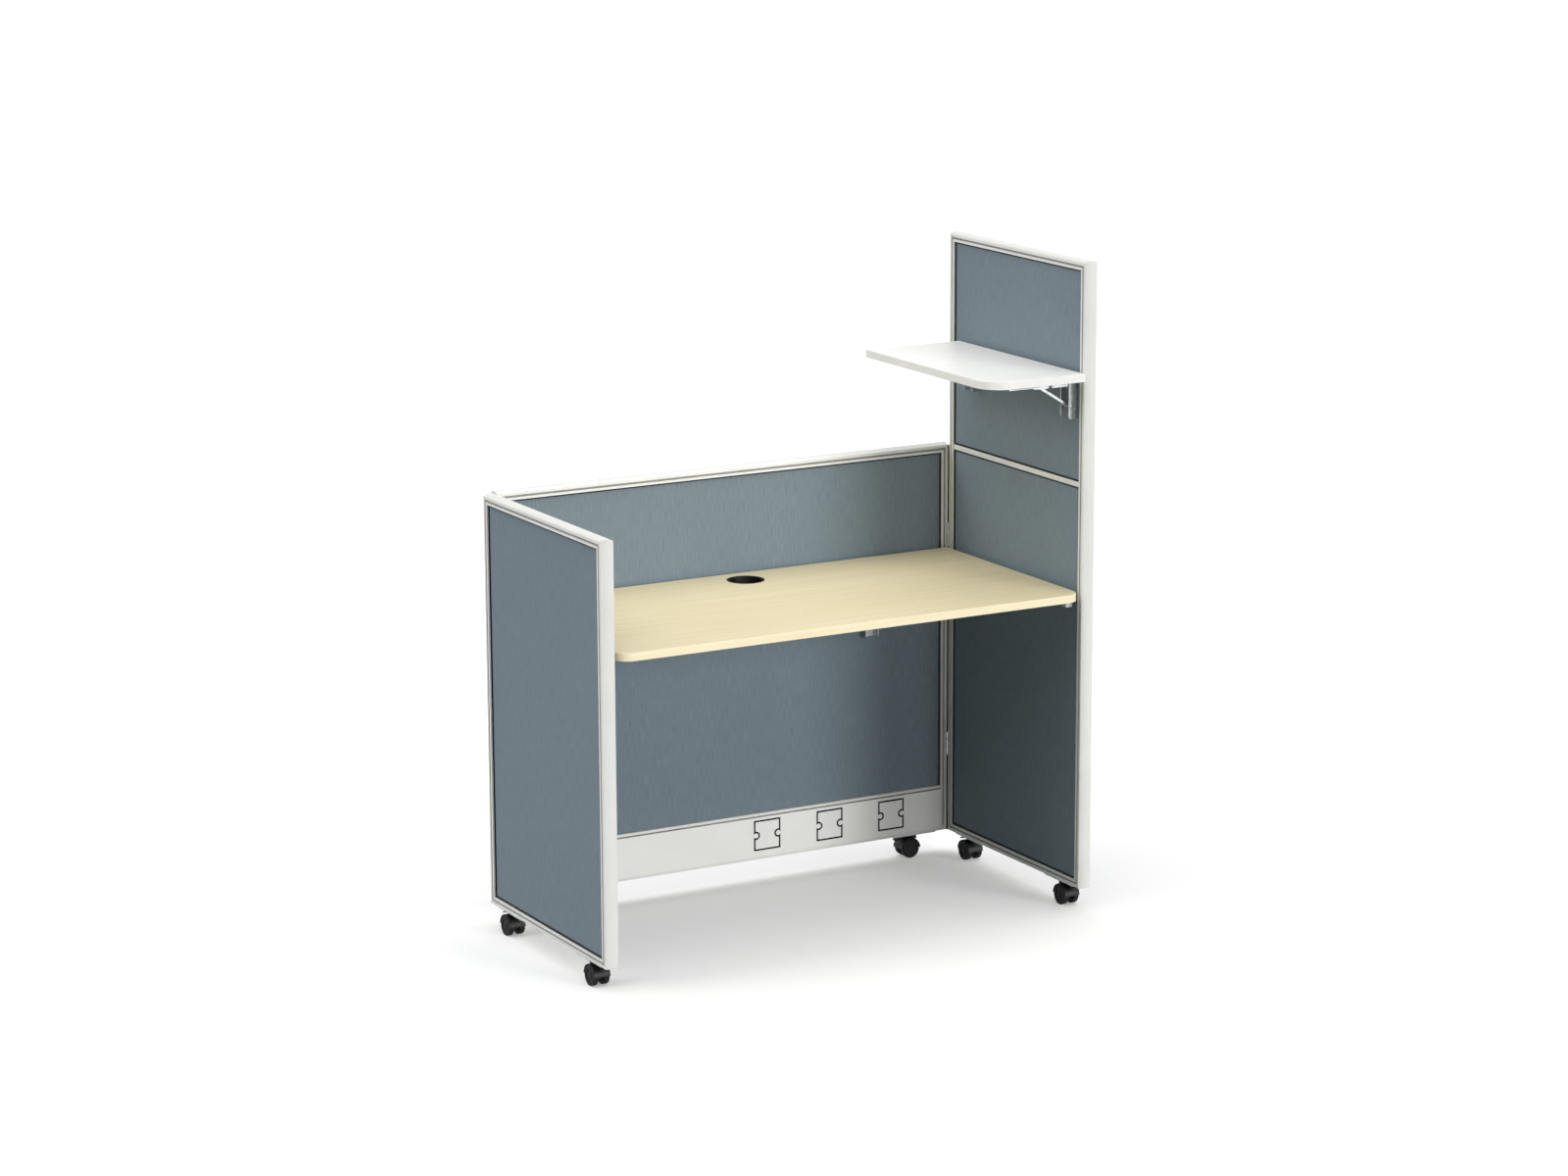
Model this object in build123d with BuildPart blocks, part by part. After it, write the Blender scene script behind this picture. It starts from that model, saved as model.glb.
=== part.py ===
from build123d import *
import math
import os

os.makedirs("parts", exist_ok=True)

# Folding desk made of three fabric panels on casters, a desktop and a shelf on folding brackets.
# X runs along the back panel, the user sits on the -Y side, Z is up and the floor is Z = 0.

# Panels
panel_thickness = 32
panel_bottom = 56
low_panel_top = 1000
tall_panel_top = 1500
back_width = 1174
side_reach = 578
corner_gap = 2
hinge_setback = 1

# Frame members of a panel
member_face = 17
member_wall = 2.5
groove_inset = 6.5
groove_width = 5
groove_depth = 3
web_thickness = 5
web_reach = 20
trim_height = 5
mitre_gap = 0.2

# Tiles
tile_recess = 5.5
tile_gap = 3.5
crossbar_height = 12
crossbar_drop = 13
crossbar_setback = 3

# Raceway along the foot of the back panel
raceway_rail_top = 167.5
raceway_rail_height = 7
raceway_rail_gap = 0.5
raceway_rail_relief = 1
cover_top = 158
cover_bottom = 63
cover_sheet = 1.5
cover_clearance = 0.2
cover_return = 9
trough_sheet = 1.5
trough_depth = 11
trough_inset = 5
socket_width = 69
socket_height = 72
socket_bottom = 78.5
socket_pitch = 168.5
socket_count = 3
socket_end_inset = 156
socket_line = 2.4
socket_tab_radius = 7
socket_tab_inset = 5
socket_post_radius = 6

# Desktop and its grommet
desk_top = 750
desk_board = 18
desk_side_gap = 6
desk_rear_gap = 4
desk_reach = 586
desk_corner_radius = 37
desk_rear_corner_radius = 4
edging = 2
grommet_bore = 76
grommet_wall = 2
grommet_flange = 88
grommet_flange_height = 2
grommet_setback = 76
grommet_lower_lip = 3
grommet_edge_rounding = 0.5
stop_length = 16
stop_width = 18
stop_height = 20
stop_setback = 40
stop_rounding = 2

# Shelf on the tall panel
shelf_drop = 250
shelf_board_thickness = 18
shelf_depth = 252
shelf_rear_setback = 50
shelf_reach = 586
shelf_outer_radius = 60
shelf_inner_radius = 35
shelf_small_radius = 6

# Folding brackets
bracket_sheet = 2.5
leg_width = 36
leg_depth = 23.5
leg_top_gap = 0.5
leg_rounding = 6
pivot_drop = 8
pivot_out = 17.5
pin_diameter = 6
pin_clearance = 0.05
arm_width = 28
arm_nose = 8
arm_tail = 5
strut_width = 8
strut_depth = 10
strut_tilt = 58
strut_pin_diameter = 5
strut_pin_length = 20
slot_clearance = 0.3
notch_clearance = 0.8
desk_leg_height = 175
desk_strut_drop = 118
desk_bracket_inset = 217
shelf_leg_height = 90
shelf_strut_drop = 61
shelf_bracket_inset = 63

# Corner hinges
leaf_sheet = 2
leaf_height = 56
leaf_reach = 26
knuckle_radius = 4
knuckle_gap = 0.5
hinge_pin_radius = 2
relief_clearance = 0.5
hinge_heights = (270, 780)
seal_thickness = 1.6
seal_width = 6
seal_setback = 0.3

# Casters
wheel_diameter = 46
wheel_width = 13
wheel_gap = 14
wheel_rounding = 2
axle_diameter = 6
axle_clearance = 0.1
trail = 14
plate_length = 120
plate_width = 28
plate_sheet = 3
plate_corner = 5
swivel_gap = 0.3
stem_diameter = 8
stem_clearance = 0.1
boss_radius = 10
boss_height = 6
neck_length = 20
neck_height = 11
web_clearance = 1
hood_sheet = 2
hood_gap = 1
hub_recess = 2
hub_radius = 14
side_caster_front_inset = 92
side_caster_rear_inset = 94
back_caster_inset = 87

# Brake lever on each caster, given along the trail and up from the floor
lever_pin_place = (16, 50.9)
lever_pin_radius = 1
lever_pin_reach = 3
lever_sheet = 2.6
lever_start = 13
lever_bend = 20
lever_tip = (50, 44.2)
lever_width = 16
lever_fork_gap = 13
lever_fork_end = 22

# One overrun for all cuts
overrun = 5

# Places worked out from the sizes above
caster_half_width = wheel_gap / 2 + wheel_width
rear_reach = max(panel_thickness, panel_thickness / 2 + caster_half_width)
back_face_y = (desk_reach - rear_reach) / 2
back_mid_y = back_face_y + panel_thickness / 2
hinge_x = back_width / 2 + corner_gap / 2
side_inner_x = back_width / 2 + corner_gap
side_mid_x = side_inner_x + panel_thickness / 2
side_rear_y = back_face_y - hinge_setback
side_length = side_reach - hinge_setback - trim_height
side_front_y = side_rear_y - side_length
side_mid_y = (side_rear_y + side_front_y) / 2
low_height = low_panel_top - trim_height - panel_bottom
tall_height = tall_panel_top - trim_height - panel_bottom
web_half = web_thickness / 2
tile_face = panel_thickness / 2 - tile_recess
tile_inset = member_face + tile_gap
crossbar_bottom = low_panel_top - crossbar_drop
shelf_top = tall_panel_top - shelf_drop
desk_underside = desk_top - desk_board
shelf_underside = shelf_top - shelf_board_thickness
leaf_middle = (leaf_height - 2 * knuckle_gap) / 3
wheel_radius = wheel_diameter / 2
housing_top = panel_bottom - plate_sheet - swivel_gap

# Each panel plane looks out of the face on the user's side, with its origin at the bottom middle.
back_plane = Plane(origin=(0, back_mid_y, panel_bottom), x_dir=(1, 0, 0), z_dir=(0, -1, 0))
left_plane = Plane(origin=(-side_mid_x, side_mid_y, panel_bottom), x_dir=(0, 1, 0), z_dir=(1, 0, 0))
right_plane = Plane(origin=(side_mid_x, side_mid_y, panel_bottom), x_dir=(0, -1, 0), z_dir=(-1, 0, 0))


def finish(piece, label):
    """Label a finished piece and write it."""
    piece.part.label = label
    export_step(piece.part, f"parts/{label}.step")


def strip(side, width, height, near, far):
    """Outline of the mitred band between two insets of a panel's rectangle."""
    outer = width / 2 - near
    inner = width / 2 - far
    if side == "top":
        return [(-outer, height - near), (outer, height - near), (inner, height - far), (-inner, height - far)]
    if side == "bottom":
        return [(-outer, near), (outer, near), (inner, far), (-inner, far)]
    sign = 1 if side == "far" else -1
    return [
        (sign * outer, near),
        (sign * outer, height - near),
        (sign * inner, height - far),
        (sign * inner, far),
    ]


def cut_hinge_relief(side, on_back):
    """Cut the seats of both hinges into the stile being made. side is 1 on the right, -1 on the left."""
    relief_height = leaf_height + 2 * relief_clearance
    depth = leaf_sheet + relief_clearance
    reach = leaf_reach + relief_clearance
    if on_back:
        middle_x = side * (back_width / 2 - depth / 2 + overrun / 2)
        middle_y = back_face_y + reach / 2 - overrun / 2
        length_x = depth + overrun
        length_y = reach + overrun
    else:
        middle_x = side * (hinge_x + reach / 2 - overrun / 2)
        middle_y = side_rear_y - depth / 2 + overrun / 2
        length_x = reach + overrun
        length_y = depth + overrun
    for height in hinge_heights:
        with Locations((middle_x, middle_y, height)):
            Box(length_x, length_y, relief_height, mode=Mode.SUBTRACT)
        with Locations((side * hinge_x, back_face_y, height)):
            Cylinder(knuckle_radius + relief_clearance, relief_height, mode=Mode.SUBTRACT)


def make_members(label, plane, width, height, sides, hinge_sides=()):
    """Mitred extrusions of a panel frame: hollow, with a groove on each face and a web for the tiles."""
    groove_far = groove_inset + groove_width
    half = panel_thickness / 2
    with BuildPart() as members:
        for side in sides:
            with BuildSketch(plane):
                Polygon(*strip(side, width, height, 0, member_face), align=None)
            extrude(amount=half, both=True)
            with BuildSketch(plane):
                Polygon(*strip(side, width, height, member_wall, member_face - member_wall), align=None)
            extrude(amount=half - groove_depth - member_wall, both=True, mode=Mode.SUBTRACT)
            for face in (1, -1):
                with BuildSketch(plane.offset(face * (half - groove_depth))):
                    Polygon(*strip(side, width, height, groove_inset, groove_far), align=None)
                extrude(amount=face * (groove_depth + overrun), mode=Mode.SUBTRACT)
            with BuildSketch(plane):
                Polygon(*strip(side, width, height, member_face, member_face + web_reach), align=None)
            extrude(amount=web_half, both=True)
        for side in hinge_sides:
            cut_hinge_relief(side, plane is back_plane)
    finish(members, label)


def crown(plane):
    """Domed section of a trim, as wide as the panel is thick."""
    with BuildSketch(plane) as section:
        with BuildLine():
            ThreePointArc((-panel_thickness / 2, 0), (0, trim_height), (panel_thickness / 2, 0))
            Line((panel_thickness / 2, 0), (-panel_thickness / 2, 0))
        make_face()
    return section.sketch


def make_trims(label, plane, width, height, free_end=0):
    """Domed trim along a top rail and, mitred into it, up the free end: 1 or -1 along the plane, 0 for none."""
    top_corner = plane.origin + plane.x_dir * (free_end * width / 2) + plane.y_dir * height
    mitre = plane.y_dir - plane.x_dir * free_end
    end_start = top_corner - plane.y_dir * height
    with BuildPart() as end_trim:
        if free_end:
            section = crown(Plane(origin=end_start, x_dir=plane.z_dir * free_end, z_dir=plane.y_dir))
            extrude(section, amount=height + overrun)
            split(
                bisect_by=Plane(origin=top_corner - plane.y_dir * mitre_gap, z_dir=mitre),
                keep=Keep.BOTTOM,
            )
    top_start = plane.origin - plane.x_dir * (width / 2 + overrun) + plane.y_dir * height
    section = crown(Plane(origin=top_start, x_dir=-plane.z_dir, z_dir=plane.x_dir))
    with BuildPart() as trims:
        extrude(section, amount=width + 2 * overrun)
        for end in (1, -1):
            corner = plane.origin + plane.x_dir * (end * width / 2) + plane.y_dir * height
            normal = mitre if end == free_end else -plane.x_dir * end
            split(bisect_by=Plane(origin=corner, z_dir=normal), keep=Keep.TOP)
        if free_end:
            add(end_trim.part)
    finish(trims, label)


def make_tiles(label, plane, width, low, high, faces):
    """Fabric tiles on the given faces of a panel, seated on the frame's web."""
    with BuildPart() as tiles:
        for face in faces:
            with BuildSketch(plane.offset(face * web_half)):
                with Locations((0, (low + high) / 2)):
                    Rectangle(width - 2 * tile_inset, high - low)
            extrude(amount=face * (tile_face - web_half))
    finish(tiles, label)


# Back panel frame and trim
make_members("back_top_rail", back_plane, back_width, low_height, ("top",))
make_members("back_bottom_rail", back_plane, back_width, low_height, ("bottom",))
make_members("back_stiles", back_plane, back_width, low_height, ("near", "far"), (-1, 1))
make_trims("back_trim", back_plane, back_width, low_height)

# Side panel frames and trims
for name, plane, height, side in (
    ("left", left_plane, low_height, -1),
    ("right", right_plane, tall_height, 1),
):
    make_members(f"{name}_top_rail", plane, side_length, height, ("top",))
    make_members(f"{name}_bottom_rail", plane, side_length, height, ("bottom",))
    make_members(f"{name}_stiles", plane, side_length, height, ("near", "far"), (side,))
    make_trims(f"{name}_trims", plane, side_length, height, side)

# Crossbar of the tall panel, notched round the webs of the stiles
crossbar_middle = crossbar_bottom + crossbar_height / 2 - panel_bottom
with BuildPart() as crossbar:
    with BuildSketch(right_plane):
        with Locations((0, crossbar_middle)):
            Rectangle(side_length - 2 * member_face, crossbar_height)
    extrude(amount=panel_thickness / 2 - crossbar_setback, both=True)
    with BuildSketch(right_plane):
        for end in (1, -1):
            with Locations((end * (side_length - 2 * member_face - web_reach) / 2, crossbar_middle)):
                Rectangle(web_reach, crossbar_height + overrun)
    extrude(amount=web_half, both=True, mode=Mode.SUBTRACT)
    with BuildSketch(right_plane):
        with Locations((0, crossbar_middle)):
            Rectangle(side_length - 2 * (member_face + web_reach), crossbar_height + 2 * web_reach)
    extrude(amount=web_half, both=True)
finish(crossbar, "right_crossbar")

# Tiles
low_tile_top = low_height - tile_inset
upper_tile_bottom = crossbar_middle + crossbar_height / 2 + tile_gap
lower_tile_top = crossbar_middle - crossbar_height / 2 - tile_gap
front_tile_bottom = raceway_rail_top - panel_bottom
make_tiles("back_front_tile", back_plane, back_width, front_tile_bottom, low_tile_top, (1,))
make_tiles("back_rear_tile", back_plane, back_width, tile_inset, low_tile_top, (-1,))
make_tiles("left_tiles", left_plane, side_length, tile_inset, low_tile_top, (1, -1))
make_tiles("right_lower_tiles", right_plane, side_length, tile_inset, lower_tile_top, (1, -1))
make_tiles("right_upper_tiles", right_plane, side_length, upper_tile_bottom, tall_height - tile_inset, (1, -1))

# Raceway rail under the front tile
raceway_length = back_width - 2 * (member_face + raceway_rail_gap)
rail_bottom = raceway_rail_top - raceway_rail_height - panel_bottom
with BuildPart() as raceway_rail:
    with BuildSketch(back_plane.offset(web_half)):
        with Locations((0, rail_bottom + raceway_rail_height / 2)):
            Rectangle(raceway_length, raceway_rail_height)
    extrude(amount=panel_thickness / 2 - web_half)
    front_edges = raceway_rail.edges().filter_by(Axis.X).group_by(Axis.Y)[0]
    fillet(front_edges, raceway_rail_relief)
finish(raceway_rail, "raceway_rail")

# Raceway cover, with a return at its top edge and an opening for each socket
cover_face = panel_thickness / 2 + cover_clearance
cover_middle = (cover_top + cover_bottom) / 2 - panel_bottom
socket_last = back_width / 2 - socket_end_inset
socket_places = [socket_last - place * socket_pitch for place in range(socket_count)]
socket_middle = socket_bottom + socket_height / 2 - panel_bottom


def tab_places(place):
    """Middles of the two round tabs that reach into a socket opening from its sides."""
    offset = socket_width / 2 - socket_tab_inset
    return [(place - offset, socket_middle), (place + offset, socket_middle)]


with BuildPart() as raceway_cover:
    with BuildSketch(back_plane.offset(cover_face)):
        with Locations((0, cover_middle)):
            Rectangle(raceway_length, cover_top - cover_bottom)
        for place in socket_places:
            with Locations((place, socket_middle)):
                Rectangle(socket_width, socket_height, mode=Mode.SUBTRACT)
            with Locations(*tab_places(place)):
                Circle(socket_tab_radius)
    extrude(amount=cover_sheet)
    with BuildSketch(back_plane.offset(cover_face - cover_return)):
        with Locations((0, cover_top - panel_bottom - cover_sheet / 2)):
            Rectangle(raceway_length, cover_sheet)
    extrude(amount=cover_return)
finish(raceway_cover, "raceway_cover")

# Blank plates in the socket openings, each on a post that stands on the trough
with BuildPart() as socket_blanks:
    with BuildSketch(back_plane.offset(cover_face)):
        for place in socket_places:
            with Locations((place, socket_middle)):
                Rectangle(socket_width - 2 * socket_line, socket_height - 2 * socket_line)
            with Locations(*tab_places(place)):
                Circle(socket_tab_radius + socket_line, mode=Mode.SUBTRACT)
    extrude(amount=cover_sheet)
    with BuildSketch(back_plane.offset(cover_face)):
        for place in socket_places:
            with Locations((place, socket_middle)):
                Circle(socket_post_radius)
    extrude(amount=web_half + trough_sheet - cover_face)
finish(socket_blanks, "socket_blanks")

# Cable trough behind the cover
trough_bottom = panel_bottom + member_face + trough_inset
trough_top = cover_top - cover_sheet - trough_inset
trough_middle = (trough_top + trough_bottom) / 2 - panel_bottom
trough_height = trough_top - trough_bottom
with BuildPart() as raceway_trough:
    with BuildSketch(back_plane.offset(web_half)):
        with Locations((0, trough_middle)):
            Rectangle(raceway_length, trough_height)
    extrude(amount=trough_depth)
    with BuildSketch(back_plane.offset(web_half + trough_sheet)):
        with Locations((0, trough_middle)):
            Rectangle(raceway_length + overrun, trough_height - 2 * trough_sheet)
    extrude(amount=trough_depth, mode=Mode.SUBTRACT)
finish(raceway_trough, "raceway_trough")


def hinge_knuckle_places(height, own_ends):
    """Middles of the knuckles of one hinge: the two end ones or the middle one."""
    step = leaf_middle + knuckle_gap
    return [height - step, height + step] if own_ends else [height]


def make_hinge_leaves(label, sides, on_back):
    """Leaves of both hinges on each given side, either on the back panel or on the side panel."""
    with BuildPart() as leaves:
        for side in sides:
            axis_x = side * hinge_x
            for height in hinge_heights:
                if on_back:
                    place = (side * (back_width / 2 - leaf_sheet / 2), back_face_y + leaf_reach / 2, height)
                    size = (leaf_sheet, leaf_reach, leaf_height)
                else:
                    place = (side * (hinge_x + leaf_reach / 2), side_rear_y - leaf_sheet / 2, height)
                    size = (leaf_reach, leaf_sheet, leaf_height)
                with Locations(place):
                    Box(*size)
                for other in hinge_knuckle_places(height, on_back):
                    with Locations((axis_x, back_face_y, other)):
                        Cylinder(
                            knuckle_radius + knuckle_gap,
                            leaf_middle + 2 * knuckle_gap,
                            mode=Mode.SUBTRACT,
                        )
                for own in hinge_knuckle_places(height, not on_back):
                    bore = hinge_pin_radius if on_back else hinge_pin_radius + pin_clearance
                    with Locations((axis_x, back_face_y, own)):
                        Cylinder(knuckle_radius, leaf_middle)
                        Cylinder(bore, leaf_middle + overrun, mode=Mode.SUBTRACT)
    finish(leaves, label)


# Corner hinges: the back leaves hold the middle knuckle and the side leaves the end ones
make_hinge_leaves("back_hinge_leaves", (-1, 1), True)
make_hinge_leaves("left_hinge_leaves", (-1,), False)
make_hinge_leaves("right_hinge_leaves", (1,), False)

with BuildPart() as hinge_pins:
    for side in (-1, 1):
        for height in hinge_heights:
            with Locations((side * hinge_x, back_face_y, height)):
                Cylinder(hinge_pin_radius, leaf_height)
finish(hinge_pins, "hinge_pins")

# Flexible strips that close the corner gaps, cut away at the hinges
seal_top = low_panel_top - trim_height
with BuildPart() as corner_seals:
    for side in (-1, 1):
        seal_x = side * (back_width / 2 + seal_thickness / 2)
        seal_y = back_face_y + seal_setback + seal_width / 2
        with Locations((seal_x, seal_y, (panel_bottom + seal_top) / 2)):
            Box(seal_thickness, seal_width, seal_top - panel_bottom)
        for height in hinge_heights:
            with Locations((seal_x, seal_y, height)):
                Box(
                    seal_thickness + overrun,
                    seal_width + overrun,
                    leaf_height + 2 * relief_clearance,
                    mode=Mode.SUBTRACT,
                )
finish(corner_seals, "corner_seals")


def desktop_outline(inset):
    """Sketch the desktop's outline, drawn in by an inset, on the active plane."""
    half = back_width / 2 + corner_gap - desk_side_gap - inset
    depth = desk_reach - desk_rear_gap - 2 * inset
    middle = back_face_y - (desk_reach + desk_rear_gap) / 2
    with Locations((0, middle)):
        outline = Rectangle(2 * half, depth)
    corners = outline.vertices()
    fillet(corners.group_by(Axis.Y)[0], desk_corner_radius - inset)
    fillet(corners.group_by(Axis.Y)[-1], desk_rear_corner_radius - inset)


# Desktop with its edging and a grommet let into its top
grommet_y = back_face_y - grommet_setback
with BuildPart() as desktop:
    with BuildSketch(Plane.XY.offset(desk_underside)):
        desktop_outline(edging)
        with Locations((0, grommet_y)):
            Circle(grommet_bore / 2 + grommet_wall, mode=Mode.SUBTRACT)
    extrude(amount=desk_board)
    with BuildSketch(Plane.XY.offset(desk_top)):
        with Locations((0, grommet_y)):
            Circle(grommet_flange / 2)
    extrude(amount=-grommet_flange_height, mode=Mode.SUBTRACT)
finish(desktop, "desktop")

with BuildPart() as desktop_edging:
    with BuildSketch(Plane.XY.offset(desk_underside)):
        desktop_outline(0)
    extrude(amount=desk_board)
    with BuildSketch(Plane.XY.offset(desk_underside)):
        desktop_outline(edging)
    extrude(amount=desk_board, mode=Mode.SUBTRACT)
finish(desktop_edging, "desktop_edging")

sleeve_length = desk_board + grommet_lower_lip
with BuildPart() as grommet:
    with BuildSketch(Plane.XY.offset(desk_top)):
        with Locations((0, grommet_y)):
            Circle(grommet_flange / 2)
    extrude(amount=-grommet_flange_height)
    top_rim = grommet.edges().group_by(Axis.Z)[-1]
    fillet(top_rim, grommet_edge_rounding)
    with BuildSketch(Plane.XY.offset(desk_top)):
        with Locations((0, grommet_y)):
            Circle(grommet_bore / 2 + grommet_wall)
    extrude(amount=-sleeve_length)
    with BuildSketch(Plane.XY.offset(desk_top)):
        with Locations((0, grommet_y)):
            Circle(grommet_bore / 2)
    extrude(amount=-sleeve_length, mode=Mode.SUBTRACT)
finish(grommet, "grommet")

# Stop under the right front corner that bears on the side panel
stop_x = back_width / 2 + corner_gap - desk_side_gap - stop_width / 2
stop_y = back_face_y - desk_reach + stop_setback + stop_length / 2
with BuildPart() as desk_stop:
    with BuildSketch(Plane.XY.offset(desk_underside)):
        with Locations((stop_x, stop_y)):
            RectangleRounded(stop_width, stop_length, stop_rounding)
    extrude(amount=-stop_height)
finish(desk_stop, "desk_stop")

# Shelf with its edging
shelf_outer_x = side_inner_x - desk_rear_gap
shelf_inner_x = shelf_outer_x - shelf_depth
shelf_front_y = back_face_y - shelf_reach
shelf_rear_y = back_face_y - shelf_rear_setback


def shelf_outline(inset):
    """Sketch the shelf's outline, drawn in by an inset, on the active plane."""
    with Locations(((shelf_inner_x + shelf_outer_x) / 2, (shelf_front_y + shelf_rear_y) / 2)):
        outline = Rectangle(shelf_depth - 2 * inset, shelf_rear_y - shelf_front_y - 2 * inset)
    front = outline.vertices().group_by(Axis.Y)[0].sort_by(Axis.X)
    rear = outline.vertices().group_by(Axis.Y)[-1]
    fillet(front[0], shelf_outer_radius - inset)
    fillet(front[-1], shelf_inner_radius - inset)
    fillet(rear, shelf_small_radius - inset)


with BuildPart() as shelf_board:
    with BuildSketch(Plane.XY.offset(shelf_underside)):
        shelf_outline(edging)
    extrude(amount=shelf_board_thickness)
finish(shelf_board, "shelf_board")

with BuildPart() as shelf_edging:
    with BuildSketch(Plane.XY.offset(shelf_underside)):
        shelf_outline(0)
    extrude(amount=shelf_board_thickness)
    with BuildSketch(Plane.XY.offset(shelf_underside)):
        shelf_outline(edging)
    extrude(amount=shelf_board_thickness, mode=Mode.SUBTRACT)
finish(shelf_edging, "shelf_edging")

# Planes of the folding brackets: origin on the tile at the board's underside, X out of the panel, Y up
desk_bracket_x = back_width / 2 - desk_bracket_inset
desk_bracket_planes = [
    Plane(
        origin=(side * desk_bracket_x, back_mid_y - tile_face, desk_underside),
        x_dir=(0, -1, 0),
        z_dir=(-1, 0, 0),
    )
    for side in (-1, 1)
]
shelf_bracket_planes = [
    Plane(origin=(side_mid_x - tile_face, place, shelf_underside), x_dir=(-1, 0, 0), z_dir=(0, 1, 0))
    for place in (shelf_front_y + shelf_bracket_inset, shelf_rear_y - shelf_bracket_inset)
]


def strut_length(drop):
    """Distance between the two pins of a strut whose lower pin lies at the given drop."""
    return (drop - pivot_drop) / math.cos(math.radians(strut_tilt))


def make_legs(label, planes, leg_height, drop):
    """Channel legs fixed to a panel, with the pins of the arm and of the strut riveted in."""
    with BuildPart() as legs:
        for plane in planes:
            with BuildSketch(plane):
                with Locations((leg_depth / 2, -(leg_height + leg_top_gap) / 2)):
                    outline = Rectangle(leg_depth, leg_height - leg_top_gap)
                front = outline.vertices().group_by(Axis.X)[-1]
                fillet(front, leg_rounding)
            extrude(amount=leg_width / 2, both=True)
            with BuildSketch(plane):
                with Locations((bracket_sheet + leg_depth / 2, -leg_height / 2)):
                    Rectangle(leg_depth, leg_height + overrun)
            extrude(amount=leg_width / 2 - bracket_sheet, both=True, mode=Mode.SUBTRACT)
            with BuildSketch(plane):
                with Locations((pivot_out, -pivot_drop), (pivot_out, -drop)):
                    Circle(pin_diameter / 2)
            extrude(amount=leg_width / 2, both=True)
    finish(legs, label)


def make_arms(label, planes, drop):
    """Channel arms under a board, with a slot for the strut's pin and a notch for the leg's lower pin."""
    slot_near = strut_length(drop) * math.sin(math.radians(strut_tilt))
    slot_far = drop - pivot_drop + strut_length(drop)
    arm_end = pivot_out + slot_far + arm_nose
    step = pivot_out + slot_near + arm_nose
    notch_place = pivot_out + drop - pivot_drop
    notch_width = pin_diameter + 2 * notch_clearance
    with BuildPart() as arms:
        for plane in planes:
            with BuildSketch(plane):
                with BuildLine():
                    Polyline(
                        (pivot_out, -pivot_drop - arm_nose),
                        (step, -pivot_drop - arm_nose),
                        (step + arm_nose, -pivot_drop - arm_tail),
                        (arm_end, -pivot_drop - arm_tail),
                        (arm_end, 0),
                        (pivot_out - arm_nose, 0),
                        (pivot_out - arm_nose, -pivot_drop),
                    )
                    RadiusArc(
                        (pivot_out - arm_nose, -pivot_drop),
                        (pivot_out, -pivot_drop - arm_nose),
                        -arm_nose,
                    )
                make_face()
            extrude(amount=arm_width / 2, both=True)
            with BuildSketch(plane):
                with Locations(((pivot_out + arm_end) / 2, -bracket_sheet - pivot_drop - arm_nose)):
                    Rectangle(arm_end + overrun, 2 * (pivot_drop + arm_nose))
            extrude(amount=arm_width / 2 - bracket_sheet, both=True, mode=Mode.SUBTRACT)
            with BuildSketch(plane):
                with Locations((pivot_out, -pivot_drop)):
                    Circle(pin_diameter / 2 + pin_clearance)
                with Locations((pivot_out + (slot_near + slot_far) / 2, -pivot_drop)):
                    SlotCenterToCenter(slot_far - slot_near, strut_pin_diameter + 2 * slot_clearance)
                with Locations((notch_place, -pivot_drop)):
                    Circle(notch_width / 2)
                with Locations((notch_place, -pivot_drop - (arm_nose + overrun) / 2)):
                    Rectangle(notch_width, arm_nose + overrun)
            extrude(amount=arm_width, both=True, mode=Mode.SUBTRACT)
    finish(arms, label)


def make_struts(label, planes, drop):
    """Struts that turn on the legs' lower pins, each with the pin that runs in the arm's slot."""
    length = strut_length(drop)
    turn = 90 - strut_tilt
    with BuildPart() as struts:
        for plane in planes:
            reach = length * math.cos(math.radians(turn))
            rise = length * math.sin(math.radians(turn))
            with BuildSketch(plane):
                with Locations(Location((pivot_out + reach / 2, -drop + rise / 2), turn)):
                    SlotCenterToCenter(length, strut_depth)
            extrude(amount=strut_width / 2, both=True)
            with BuildSketch(plane):
                with Locations((pivot_out, -drop)):
                    Circle(pin_diameter / 2 + pin_clearance)
            extrude(amount=strut_width, both=True, mode=Mode.SUBTRACT)
            with BuildSketch(plane):
                with Locations((pivot_out + reach, -drop + rise)):
                    Circle(strut_pin_diameter / 2)
            extrude(amount=strut_pin_length / 2, both=True)
    finish(struts, label)


make_legs("desk_legs", desk_bracket_planes, desk_leg_height, desk_strut_drop)
make_arms("desk_arms", desk_bracket_planes, desk_strut_drop)
make_struts("desk_struts", desk_bracket_planes, desk_strut_drop)
make_legs("shelf_legs", shelf_bracket_planes, shelf_leg_height, shelf_strut_drop)
make_arms("shelf_arms", shelf_bracket_planes, shelf_strut_drop)
make_struts("shelf_struts", shelf_bracket_planes, shelf_strut_drop)

# Casters: name, place of the swivel axis and direction in which the wheels trail
caster_front_y = back_face_y - side_reach + side_caster_front_inset
caster_rear_y = back_face_y - side_caster_rear_inset
back_caster_x = back_width / 2 - back_caster_inset
casters = {
    "left_front": ((-side_mid_x, caster_front_y), (0, -1)),
    "left_rear": ((-side_mid_x, caster_rear_y), (0, 1)),
    "right_front": ((side_mid_x, caster_front_y), (0, -1)),
    "right_rear": ((side_mid_x, caster_rear_y), (0, 1)),
    "back_left": ((-back_caster_x, back_mid_y), (1, 0)),
    "back_right": ((back_caster_x, back_mid_y), (-1, 0)),
}


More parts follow.
